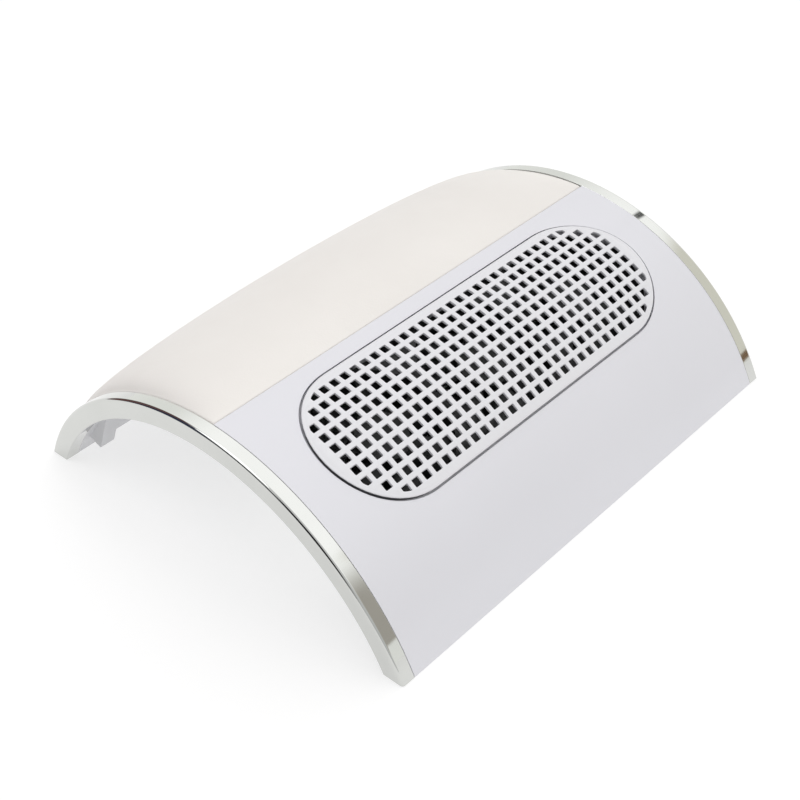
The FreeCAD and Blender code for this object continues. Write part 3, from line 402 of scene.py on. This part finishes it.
def make_room():
    """A bright studio: a lit ceiling, white walls, a shaded corner and dark cabinets on one side."""
    world = bpy.data.worlds.new("studio")
    SCENE.world = world
    world.use_nodes = True
    nodes = Nodes(world.node_tree)
    outward = nodes.add("ShaderNodeTexCoord").outputs["Generated"]
    direction = nodes.add("ShaderNodeSeparateXYZ", {"Vector": outward})
    x, y, z = (direction.outputs[axis] for axis in "XYZ")
    degrees = 180 / math.pi
    height = nodes.math("MULTIPLY", nodes.math("ARCSINE", z), degrees)
    bearing = nodes.math("MULTIPLY", nodes.math("ARCTAN2", x, y), degrees)

    def gate(value, limits):
        return nodes.spread(value, 0.0, 1.0, *limits, smooth=True)

    def region(low, high, first, last):
        product = gate(height, low)
        for other in (gate(height, high), gate(bearing, first), gate(bearing, last)):
            product = nodes.math("MULTIPLY", product, other)
        return product

    walls = nodes.mixed(gate(height, (10, 60)), (0.66, 0.67, 0.67, 1), (0.80, 0.80, 0.80, 1))
    bright = nodes.mixed(gate(height, (22, 48)), (1.04, 1.05, 1.02, 1), (1.42, 1.42, 1.42, 1))
    lit_side = nodes.math("MULTIPLY", gate(bearing, (6, 20)), gate(bearing, (177, 168)))
    room = nodes.mixed(lit_side, walls, bright)
    cabinets = nodes.tones(nodes.spread(bearing, 0.0, 1.0, -110, 20), CABINET_TONES)
    for colour, *limits in PATCHES.values():
        room = nodes.mixed(region(*limits), room, colour or cabinets)
    light = nodes.add("ShaderNodeBackground", {"Color": room, "Strength": 1.0})
    backdrop = nodes.add("ShaderNodeBackground", {"Color": (1, 1, 1, 1), "Strength": 1.0})
    seen = nodes.add("ShaderNodeLightPath").outputs["Is Camera Ray"]
    mix = nodes.add("ShaderNodeMixShader", {"Fac": seen})
    nodes.feed(mix.inputs[1], light.outputs[0])
    nodes.feed(mix.inputs[2], backdrop.outputs[0])
    nodes.add("ShaderNodeOutputWorld", {"Surface": mix.outputs[0]})


KEY_AT = Vector((-0.55, 0.35, 1.15))
KEY_SIZE = 0.9
KEY_WATTS = 2.95


def make_key_light():
    """A round soft lamp high behind the left end."""
    data = bpy.data.lights.new("key", "AREA")
    data.shape = "DISK"
    data.size = KEY_SIZE
    data.energy = KEY_WATTS
    light = bpy.data.objects.new("key", data)
    SCENE.collection.objects.link(light)
    light.location = KEY_AT
    light.rotation_mode = "QUATERNION"
    light.rotation_quaternion = (LOOKS_AT - KEY_AT).to_track_quat("-Z", "Y")


TABLE_GLOW = 0.64
TABLE_RADIUS = 6.0


def make_floor():
    """A white table, lit from within, so that it stays pale under the arch."""
    glow = {"emission_color": (1, 1, 1, 1), "emission_strength": TABLE_GLOW}
    look = Finish("lit_table", specular_ior_level=0.1, **glow)
    clouds = look.noise(look.place, 3.0)
    look.colour(look.tones(clouds, [(0.3, (0.40, 0.40, 0.40)), (0.7, (0.42, 0.42, 0.42))]))
    look.gloss(look.noise(look.place, 8.0), 0.9, 1.0)
    bm = bmesh.new()
    bmesh.ops.create_circle(bm, cap_ends=True, segments=64, radius=TABLE_RADIUS)
    floor = plain_object("floor", bm, look.material)


# ---- mesh helpers ------------------------------------------------------------------------
def plain_object(name, bm, material):
    """Turn a bmesh into an object of one material in the scene."""
    mesh = bpy.data.meshes.new(name)
    bm.to_mesh(mesh)
    bm.free()
    mesh.materials.append(material)
    made = bpy.data.objects.new(name, mesh)
    SCENE.collection.objects.link(made)
    return made


def piece(name, bm, body, slot, stands_for=(), sharp=35.0):
    """A visible piece: smooth apart from edges sharper than an angle, riding on a body."""
    bmesh.ops.recalc_face_normals(bm, faces=bm.faces)
    made = plain_object(name, bm, FINISHES[slot])
    made.data.shade_smooth()
    made.data.set_sharp_from_angle(angle=math.radians(sharp))
    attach(made, body)
    if stands_for:
        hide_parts(*stands_for)
    return made


def cut_away(bm, origin, outward):
    """Cut off what lies beyond a plane and return what the cut leaves along it."""
    everything = bm.verts[:] + bm.edges[:] + bm.faces[:]
    cut = bmesh.ops.bisect_plane(bm, geom=everything, plane_co=origin, plane_no=outward, clear_outer=True)
    return cut["geom_cut"]


def bridge_rings(bm, rings, closed=True):
    """Quads between rows of vertices of equal length."""
    for near, far in zip(rings, rings[1:]):
        count = len(near)
        for i in range(count if closed else count - 1):
            j = (i + 1) % count
            bm.faces.new((near[i], near[j], far[j], far[i]))


def quarter(cx, cy, radius, start, steps=5):
    """Points of a quarter circle, turning anticlockwise from an angle in degrees."""
    angles = [math.radians(start + 90 * i / steps) for i in range(steps + 1)]
    return [(cx + radius * math.cos(a), cy + radius * math.sin(a)) for a in angles]


CLOTH_FRAMES = 20
POINT_MASS = 0.3
SHEAR = 5.0


def run_cloth(obj, pressure, cap, gravity=0.0, stiffness=15.0, bending=0.5):
    """Swell a pinned mesh as cloth for some frames, cap each point's travel and keep the result."""
    start = [vertex.co.copy() for vertex in obj.data.vertices]
    modifier = obj.modifiers.new("swell", "CLOTH")
    settings = modifier.settings
    settings.quality = 5
    settings.mass = POINT_MASS
    settings.tension_stiffness = stiffness
    settings.compression_stiffness = stiffness
    settings.shear_stiffness = SHEAR
    settings.bending_stiffness = bending
    settings.use_pressure = True
    settings.uniform_pressure_force = pressure
    settings.effector_weights.gravity = gravity
    settings.vertex_group_mass = "held"
    modifier.point_cache.frame_start = 1
    modifier.point_cache.frame_end = CLOTH_FRAMES
    for number in range(1, CLOTH_FRAMES + 1):
        SCENE.frame_set(number)
    swollen = obj.evaluated_get(bpy.context.evaluated_depsgraph_get()).to_mesh()
    ends = [vertex.co.copy() for vertex in swollen.vertices]
    obj.modifiers.remove(modifier)
    SCENE.frame_set(1)
    for vertex, before, after in zip(obj.data.vertices, start, ends):
        travel = after - before
        if travel.length > cap:
            travel *= cap / travel.length
        vertex.co = before + travel
    obj.data.update()


# ---- hand rest ---------------------------------------------------------------------------
PAD_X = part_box("cushion_cover")[1].x
PAD_FRONT = math.radians(2.22)
PAD_REAR = math.radians(-62.8)
PAD_CROWN = 12.0 * MM
PAD_START = 0.9
PAD_CAP = 1.5 * MM
PAD_PRESSURE = 240.0
PAD_EDGE = 1.1 * MM
PAD_EDGE_LEANS = (25, 50, 72, 90)
PAD_DROP = 3.6 * MM
PAD_TUCK = 0.75 * PAD_DROP
PAD_COLUMNS, PAD_ROWS = 72, 42


def eased(count, crowd):
    """Places from -1 to 1, drawn together towards the ends."""
    steps = [2 * i / count - 1 for i in range(count + 1)]
    return [t * (1 - crowd) + crowd * math.sin(t * math.pi / 2) for t in steps]


def pad_height(across, along):
    """The crown's height at places -1..1 across the width and along the arch."""
    return PAD_CROWN * math.sqrt(max(0.0, 1 - across ** 2)) * (1 - along ** 2)


def cushion():
    """Leather cover over foam: a crowned skin held along its tucked edge and swollen as cloth."""
    half_turn = (PAD_FRONT - PAD_REAR) / 2
    middle = (PAD_FRONT + PAD_REAR) / 2
    edge_turn = PAD_EDGE / RADIUS
    columns, rows = eased(PAD_COLUMNS, 0.5), eased(PAD_ROWS, 0.35)
    bm = bmesh.new()

    def place(across, along, height, spread=0.0):
        x = across * (PAD_X - PAD_EDGE + spread)
        turn = middle + along * (half_turn - edge_turn + spread / RADIUS)
        return bm.verts.new(on_arch(x, turn, height))

    def sheet(height):
        return [[place(a, b, height(a, b)) for a in columns] for b in rows]

    def rim(grid):
        """The sheet's border in order, with each point's place."""
        last_row, last = len(rows) - 1, len(columns) - 1
        order = [(0, c) for c in range(last)] + [(r, last) for r in range(last_row)]
        order += [(last_row, c) for c in range(last, 0, -1)] + [(r, 0) for r in range(last_row, 0, -1)]
        return [(grid[r][c], columns[c], rows[r]) for r, c in order]

    top = sheet(lambda a, b: PAD_START * pad_height(a, b))
    under = sheet(lambda a, b: -PAD_DROP)
    for grid in (top, under):
        bridge_rings(bm, grid, closed=False)
    border = rim(top)
    rings = [[vertex for vertex, _, _ in border]]
    for lean in PAD_EDGE_LEANS:
        out = PAD_EDGE * math.sin(math.radians(lean))
        fall = PAD_EDGE * (1 - math.cos(math.radians(lean)))
        rings.append([place(a, b, -fall, out) for _, a, b in border])
    rings.append([place(a, b, -PAD_TUCK, PAD_EDGE) for _, a, b in border])
    rings.append([vertex for vertex, _, _ in rim(under)])
    bridge_rings(bm, rings)
    free = {vertex for row in top[1:-1] for vertex in row[1:-1]}
    bm.verts.index_update()
    held = [vertex.index for vertex in bm.verts if vertex not in free]
    made = piece("hand_rest_cushion", bm, "housing", "pad_leather", ("cushion_cover", "cushion_foam"), 60)
    group = made.vertex_groups.new(name="held")
    group.add(held, 1.0, "REPLACE")
    run_cloth(made, PAD_PRESSURE, PAD_CAP)
    made.modifiers.new("fine", "SUBSURF").levels = 1
    return made


# ---- intake grille -----------------------------------------------------------------------
PITCH = 7.5 * MM
HOLE = 4.65 * MM
HOLE_CORNER = 0.55 * MM
ROW_LENGTHS = (28, 30, 32, 32, 32, 32, 32, 32, 30, 28)
FIELD_HALF = 38.1 * MM
GRILLE_HALF = RADIUS * math.sin(41.7 * MM / RADIUS)
ROUND_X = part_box("intake_grille")[1].x - GRILLE_HALF
RAISE = 0.95 * MM
WEB_THICK = 1.6 * MM
WEB_EDGE = 0.2 * MM
WEB_INSET = 0.9 * MM
WEB_LONGEST_EDGE = 7.0 * MM
RIM_THICK = 3.0 * MM
RIM_WIDTH = 2.1 * MM
RIM_EDGE = 0.35 * MM
RIM_TOP_WIDTH = 1.7 * MM
RIM_TOP = RAISE + 0.015 * MM
RIM_ROOT = RAISE - WEB_THICK + 0.3 * MM
LIP_LOW = 0.4 * MM
LIP_SLOPE = 0.4 * MM
LIP_REACH = 1.0 * MM
TONGUES_X = (-60 * MM, 0, 60 * MM)
TONGUE_Y = 37.55 * MM
TONGUE_WIDTH = 12 * MM
TONGUE_THICK = 1 * MM
TONGUE_LOW = -7.0 * MM
TONGUE_ROOT = RAISE - WEB_THICK + 0.2 * MM


def racetrack(half, spacing=6 * MM, arc_steps=28):
    """A stadium's outline, its straight sides divided evenly."""
    count = max(1, round(2 * ROUND_X / spacing))
    straight = [-ROUND_X + 2 * ROUND_X * i / count for i in range(1, count)]
    right = [(ROUND_X + half * math.cos(a), half * math.sin(a))
             for a in (math.radians(-90 + 180 * i / arc_steps) for i in range(arc_steps + 1))]
    left = [(-x, -y) for x, y in right]
    return right + [(x, half) for x in reversed(straight)] + left + [(x, -half) for x in straight]


def clipped(points, border):
    """The part of a convex polygon inside a convex border, both anticlockwise."""
    for (ax, ay), (bx, by) in zip(border, border[1:] + border[:1]):
        def depth(point):
            """Positive on the inner side of this stretch of the border."""
            return (bx - ax) * (point[1] - ay) - (by - ay) * (point[0] - ax)

        kept = []
        for here, there in zip(points, points[1:] + points[:1]):
            if depth(here) >= 0:
                kept.append(here)
            if (depth(here) >= 0) != (depth(there) >= 0):
                share = depth(here) / (depth(here) - depth(there))
                kept.append(tuple(start + share * (end - start) for start, end in zip(here, there)))
        points = kept
        if len(points) < 3:
            return []
    return points


def rounded(points, radius, steps=3, keep_below=25.0):
    """Cut each sharp corner of a polygon with a small curve."""
    outline = []
    count = len(points)
    for i in range(count):
        before, corner, after = (Vector(points[(i + k) % count]) for k in (-1, 0, 1))
        a, b = before - corner, after - corner
        if a.length < 1e-6 or b.length < 1e-6:
            continue
        turn = 180 - math.degrees(a.angle(b))
        if turn < keep_below:
            outline.append(tuple(corner))
            continue
        reach = min(radius, 0.45 * a.length, 0.45 * b.length)
        entry, leave = corner + a.normalized() * reach, corner + b.normalized() * reach
        for k in range(steps + 1):
            t = k / steps
            outline.append(tuple(entry * (1 - t) ** 2 + corner * 2 * t * (1 - t) + leave * t ** 2))
    return outline


def hole_outlines():
    """The square holes, row by row, the end ones cut by the field's round border."""
    border = racetrack(FIELD_HALF, spacing=40 * MM)
    outlines = []
    middle = (len(ROW_LENGTHS) - 1) / 2
    for row, count in enumerate(ROW_LENGTHS):
        turn = (row - middle) * PITCH / RADIUS
        y, half_y = -RADIUS * math.sin(turn), HOLE / 2 * math.cos(turn)
        for column in range(count):
            x = (column - (count - 1) / 2) * PITCH
            left, right = x - HOLE / 2, x + HOLE / 2
            square = [(left, y - half_y), (right, y - half_y), (right, y + half_y), (left, y + half_y)]
            cut = clipped(square, border)
            if len(cut) >= 3:
                outlines.append(rounded(cut, HOLE_CORNER))
    return outlines


def flat_plate(outlines, thick, edge):
    """A plate with softened edges from closed outlines, drawn flat."""
    curve = bpy.data.curves.new("plate", "CURVE")
    curve.dimensions = "2D"
    curve.fill_mode = "BOTH"
    curve.extrude = thick / 2 - edge
    curve.bevel_depth = edge
    curve.bevel_resolution = 1
    curve.offset = -edge
    for outline in outlines:
        spline = curve.splines.new("POLY")
        spline.points.add(len(outline) - 1)
        for point, (x, y) in zip(spline.points, outline):
            point.co = (x, y, 0, 1)
        spline.use_cyclic_u = True
    carrier = bpy.data.objects.new("plate", curve)
    SCENE.collection.objects.link(carrier)
    mesh = bpy.data.meshes.new_from_object(carrier.evaluated_get(bpy.context.evaluated_depsgraph_get()))
    bm = bmesh.new()
    bm.from_mesh(mesh)
    bpy.data.objects.remove(carrier)
    bpy.data.curves.remove(curve)
    bpy.data.meshes.remove(mesh)
    bmesh.ops.remove_doubles(bm, verts=bm.verts, dist=0.01 * MM)
    return bm


def shorten_edges(bm, longest):
    """Divide long edges, so that the mesh can bend."""
    for _ in range(5):
        long_edges = [edge for edge in bm.edges if edge.calc_length() > longest]
        if not long_edges:
            break
        bmesh.ops.subdivide_edges(bm, edges=long_edges, cuts=1)


def in_grille(x, y, height):
    """A point over the arch's skin, at its place across the bay."""
    return in_bay(x, y, math.sqrt((RADIUS + height) ** 2 - y ** 2))


def grille():
    """Curved racetrack plate: a thin pierced web in a thicker rim, with locating tongues."""
    bm = flat_plate([racetrack(GRILLE_HALF - WEB_INSET)] + hole_outlines(), WEB_THICK, WEB_EDGE)
    shorten_edges(bm, WEB_LONGEST_EDGE)
    for vertex in bm.verts:
        x, y, z = vertex.co
        vertex.co = in_grille(x, y, RAISE - WEB_THICK / 2 + z)
    grille_rim(bm, bm.verts.layers.float.new("painted_shade"))
    for x in TONGUES_X:
        for side in (-1, 1):
            tongue(bm, x, side * TONGUE_Y)
    return piece("grille_plate", bm, "grille", "grille_white", ("intake_grille",))


def grille_rim(bm, painted_shade):
    """The rim's section carried round the racetrack: a rounded lip over a groove whose rings are marked for
    painted shade.
    """
    section = [(-RIM_TOP_WIDTH, RIM_TOP)]
    section += reversed(quarter(-RIM_EDGE, RIM_TOP - RIM_EDGE, RIM_EDGE, 0))
    section += [(0, LIP_LOW), (-LIP_REACH, LIP_LOW - LIP_SLOPE), (-LIP_REACH, -RIM_THICK)]
    section += [(-RIM_WIDTH, -RIM_THICK), (-RIM_WIDTH, RIM_ROOT)]
    rings = [[bm.verts.new(in_grille(x, y, height)) for x, y in racetrack(GRILLE_HALF + out)]
             for out, height in section]
    # Rings under the lip, where the groove lies in shade, get the painted shade mark.
    for (out, _), ring in zip(section, rings):
        for vertex in ring:
            vertex[painted_shade] = 1.0 if out == -LIP_REACH else 0.0
    bridge_rings(bm, rings + rings[:1])


def tongue(bm, x, y):
    """A short fin under the web."""
    for vertex in bmesh.ops.create_cube(bm, size=1.0)["verts"]:
        cx, cy, cz = vertex.co
        height = TONGUE_ROOT if cz > 0 else TONGUE_LOW
        vertex.co = in_grille(x + cx * TONGUE_WIDTH, y + cy * TONGUE_THICK, height)


# ---- plated end frames -------------------------------------------------------------------
TRIM_OUT = TRIM_HIGH.x
TRIM_IN = SHELL_X + 0.2 * MM
TRIM_DEPTH = 11.7 * MM
TRIM_EDGE = 1.8 * MM
TRIM_SOFT = 0.6 * MM
TRIM_NIP = 0.25 * MM
TRIM_STEPS = 180
TRIM_BEYOND = FOOT_TURN + math.radians(5)


def trim_outline():
    """(x, radius) round the frame's section, anticlockwise from its lower inner corner."""
    low, high = RADIUS - TRIM_DEPTH, RADIUS
    outline = quarter(TRIM_IN + TRIM_NIP, low + TRIM_NIP, TRIM_NIP, 180, 2)
    outline += quarter(TRIM_OUT - TRIM_SOFT, low + TRIM_SOFT, TRIM_SOFT, 270, 5)
    outline += quarter(TRIM_OUT - TRIM_EDGE, high - TRIM_EDGE, TRIM_EDGE, 0, 10)
    outline += quarter(TRIM_IN + TRIM_NIP, high - TRIM_NIP, TRIM_NIP, 90, 3)
    return outline


def end_frame(name, side, node):
    """The section turned about the arch's axis and cut level at the feet."""
    outline = trim_outline()
    bm = bmesh.new()
    rings = []
    for i in range(TRIM_STEPS + 1):
        turn = TRIM_BEYOND * (1 - 2 * i / TRIM_STEPS)
        rings.append([bm.verts.new(on_arch(side * x, turn, r - RADIUS)) for x, r in outline])
    bridge_rings(bm, rings)
    bm.faces.new(rings[0])
    bm.faces.new(list(reversed(rings[-1])))
    left_over = cut_away(bm, (0, 0, FOOT_Z), (0, 0, -1))
    feet = [item for item in left_over if isinstance(item, bmesh.types.BMEdge)]
    bmesh.ops.edgeloop_fill(bm, edges=feet)
    made = piece(name, bm, "housing", "trim_chrome", (node,), 50)
    made.modifiers.new("flats", "WEIGHTED_NORMAL").keep_sharp = True
    return made


# ---- dust bag ----------------------------------------------------------------------------
BAG_LOW, BAG_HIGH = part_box("dust_bag")
BAG_THICK = 0.6 * MM
BAG_INSET = 1.6 * MM
BAG_VOXEL = 4.0 * MM
BAG_WELD = 0.4 * MM
BAG_CLEARANCE = 0.3 * MM
BAG_SAG = 3.0 * MM
PLEAT = 13.0 * MM
PLEAT_FALL = 26.0 * MM
PLEAT_DEPTH = 1.1 * MM
MOUTH_X, MOUTH_Y = 125.6 * MM, 44.9 * MM
MOUTH_LOW, MOUTH_HIGH = 97.0 * MM, 106.5 * MM
MOUTH_SPARE = 6.0 * MM
MOUTH_CUT = MOUTH_HIGH - 1.5 * MM
MOUTH_HELD = MOUTH_LOW + 3.0 * MM
MOUTH_CORNER = 5.0 * MM
MOUTH_STEP = 1.1 * MM
WELL_X, WELL_LOW, WELL_LAP = 110.0 * MM, 72.0 * MM, 4.0 * MM
POUCH_X = 90.0 * MM
# Outlines in millimetres: the pouch's seen along the width, and the two bands' sections as places
# outwards from the band's line and up the bay.
POUCH_OUTLINE = ((-60, 5), (47, 5), (52, 12), (52, 24), (44, 40), (20, 48), (-8, 50), (-40, 30))
BINDING_X, BINDING_Y, BINDING_PUCKER = 125.2 * MM, 44.5 * MM, 0.12
BINDING = ((-0.25, 98.2), (0.05, 98.0), (0.25, 98.6), (0.25, 105.7), (0.05, 106.3), (-0.25, 106.2))
ELASTIC_X, ELASTIC_Y, ELASTIC_PUCKER = 126.4 * MM, 45.75 * MM, 0.25
ELASTIC = ((-0.4, 103.0), (-0.2, 103.9), (0.35, 104.0), (0.55, 103.5), (0.55, 105.6), (0.35, 105.0),
           (-0.2, 105.1), (-0.4, 106.0))


def prism(bm, corners, shift):
    """A closed prism from a polygon and the vector to its far face."""
    near = [bm.verts.new(corner) for corner in corners]
    far = [bm.verts.new(corner + shift) for corner in corners]
    bridge_rings(bm, [near, far])
    bm.faces.new(list(reversed(near)))
    bm.faces.new(far)


def bag_block(bm, half_x, half_y, low, high):
    """A block that stands square in the bay."""
    section = ((-half_y, low), (half_y, low), (half_y, high), (-half_y, high))
    prism(bm, [in_bay(-half_x, y, n) for y, n in section], Vector((2 * half_x, 0, 0)))


def bag_form():
    """The bag's closed outer form, before it is softened."""
    bm = bmesh.new()
    bag_block(bm, MOUTH_X - BAG_THICK, MOUTH_Y - BAG_THICK, MOUTH_LOW + BAG_INSET, MOUTH_HIGH + MOUTH_SPARE)
    bag_block(bm, WELL_X - BAG_INSET, MOUTH_Y - BAG_INSET, WELL_LOW, MOUTH_LOW + WELL_LAP)
    half_width = POUCH_X - BAG_INSET
    corners = [Vector((-half_width, y * MM, z * MM)) for y, z in POUCH_OUTLINE]
    prism(bm, corners, Vector((2 * half_width, 0, 0)))
    return bm


def dust_bag():
    """Cloth bag: the form remeshed, opened at its mouth, sagged as cloth and given thickness."""
    source = plain_object("bag_form", bag_form(), FINISHES["bag_fabric"])
    remesh = source.modifiers.new("skin", "REMESH")
    remesh.mode = "VOXEL"
    remesh.voxel_size = BAG_VOXEL
    skin = source.evaluated_get(bpy.context.evaluated_depsgraph_get()).to_mesh()
    bm = bmesh.new()
    bm.from_mesh(skin)
    bpy.data.objects.remove(source)
    floor = BAG_LOW.z + BAG_INSET
    for vertex in bm.verts:
        vertex.co.z = max(vertex.co.z, floor)
    cut_away(bm, in_bay(0, 0, MOUTH_CUT), BAY_UP)
    bmesh.ops.remove_doubles(bm, verts=bm.verts, dist=BAG_WELD)
    bm.verts.index_update()
    held = [v.index for v in bm.verts if (v.co - in_bay(0, 0, MOUTH_HELD)).dot(BAY_UP) > 0]
    made = piece("dust_bag_cloth", bm, "bag", "bag_fabric", ("dust_bag",), 180)
    made.vertex_groups.new(name="held").add(held, 1.0, "REPLACE")
    run_cloth(made, pressure=0.8, cap=BAG_SAG, gravity=1.0, stiffness=12.0, bending=2.0)
    gather(made)
    keep_clear(made)
    thick = made.modifiers.new("cloth", "SOLIDIFY")
    thick.thickness = BAG_THICK
    thick.offset = -1.0
    made.modifiers.new("fine", "SUBSURF").levels = 1
    return made


def gather(bag):
    """Shallow pleats that run down from the mouth and fade out."""
    for vertex in bag.data.vertices:
        place = vertex.co - in_bay(0, 0, 0)
        across, fall = place.dot(BAY_BACK), MOUTH_LOW - place.dot(BAY_UP)
        if 0 < fall < PLEAT_FALL:
            along = across if abs(vertex.normal.x) > 0.7 else vertex.co.x
            wave = 0.5 + 0.5 * math.sin(2 * math.pi * along / PLEAT)
            vertex.co -= vertex.normal * (PLEAT_DEPTH * wave * math.sin(math.pi * fall / PLEAT_FALL))
    bag.data.update()


def keep_clear(bag):
    """Hold the cloth inside the space its CAD solid has."""
    for vertex in bag.data.vertices:
        co = vertex.co
        co.z = max(co.z, BAG_LOW.z + BAG_CLEARANCE)
        co.y = min(max(co.y, BAG_LOW.y), BAG_HIGH.y - BAG_CLEARANCE)
    bag.data.update()


def mouth_band(name, slot, half_x, half_y, section, pucker, stands_for=()):
    """A closed band round the bag's mouth, its face puckered in even folds."""
    path = []
    for side_x, side_y, start in ((1, 1, 0), (-1, 1, 90), (-1, -1, 180), (1, -1, 270)):
        x, y = side_x * (half_x - MOUTH_CORNER), side_y * (half_y - MOUTH_CORNER)
        path += quarter(x, y, MOUTH_CORNER, start, 8)
    bm = bmesh.new()
    rings = []
    for index, (x, y, nx, ny) in enumerate(evenly(path, MOUTH_STEP)):
        swell = pucker * math.sin(index * math.pi / 2)
        ring = []
        for out, n in section:
            reach = (out + swell * (1 if out > 0 else 0.2)) * MM
            ring.append(bm.verts.new(in_bay(x + nx * reach, y + ny * reach, n * MM)))
        rings.append(ring)
    bridge_rings(bm, rings + rings[:1])
    made = piece(name, bm, "bag", slot, stands_for, 50)
    made.modifiers.new("fine", "SUBSURF").levels = 1


def bag_mouth():
    """The cloth binding that fits over the collar, and the flat elastic round it."""
    mouth_band("bag_mouth_binding", "bag_fabric", BINDING_X, BINDING_Y, BINDING, BINDING_PUCKER)
    mouth_band("bag_elastic_band", "elastic_white", ELASTIC_X, ELASTIC_Y, ELASTIC, ELASTIC_PUCKER,
               ("bag_elastic",))


def evenly(path, spacing):
    """Points evenly spaced along a closed path, each with its outward normal."""
    closed = [Vector(p) for p in path + path[:1]]
    lengths = [(b - a).length for a, b in zip(closed, closed[1:])]
    count = 4 * round(sum(lengths) / spacing / 4)
    step = sum(lengths) / count
    found = []
    travelled, index = 0.0, 0
    for i in range(count):
        goal = i * step
        while travelled + lengths[index] < goal:
            travelled += lengths[index]
            index += 1
        a, b = closed[index], closed[index + 1]
        direction = (b - a).normalized()
        point = a + direction * (goal - travelled)
        found.append((point.x, point.y, direction.y, -direction.x))
    return found


# ---- carried-over CAD nodes --------------------------------------------------------------
# Bevel widths in millimetres.
SOFTENED = {
    "rubber_feet": 0.35, "box_lid": 0.3, "power_box": 0.4, "switch_rocker": 0.35, "switch_housing": 0.3,
    "board_parts": 0.3, "inlet_nut": 0.2, "power_inlet": 0.3, "switch_terminals": 0.12, "control_board": 0.1,
}


def finish_nodes():
    """Give every CAD node its finish, and soften the edges of the blocky ones."""
    for name, node in frame["nodes"].items():
        slot = node.data.materials[0].name
        node.data.materials[0] = FINISHES[slot]
    for name, width in SOFTENED.items():
        node = frame["nodes"][name]
        weld = node.modifiers.new("weld", "WELD")
        weld.merge_threshold = 0.002 * MM
        bevel = node.modifiers.new("soft_edges", "BEVEL")
        bevel.width = width * MM
        bevel.segments = 2
        bevel.limit_method = "ANGLE"
        bevel.angle_limit = math.radians(40)
        bevel.harden_normals = False


# ---- the scene ---------------------------------------------------------------------------
SCENE.view_settings.view_transform = "Standard"
FINISHES = make_finishes()
make_camera()
make_room()
make_key_light()
make_floor()
finish_nodes()
cushion()
grille()
end_frame("left_end_frame", -1, "left_trim")
end_frame("right_end_frame", 1, "right_trim")
dust_bag()
bag_mouth()
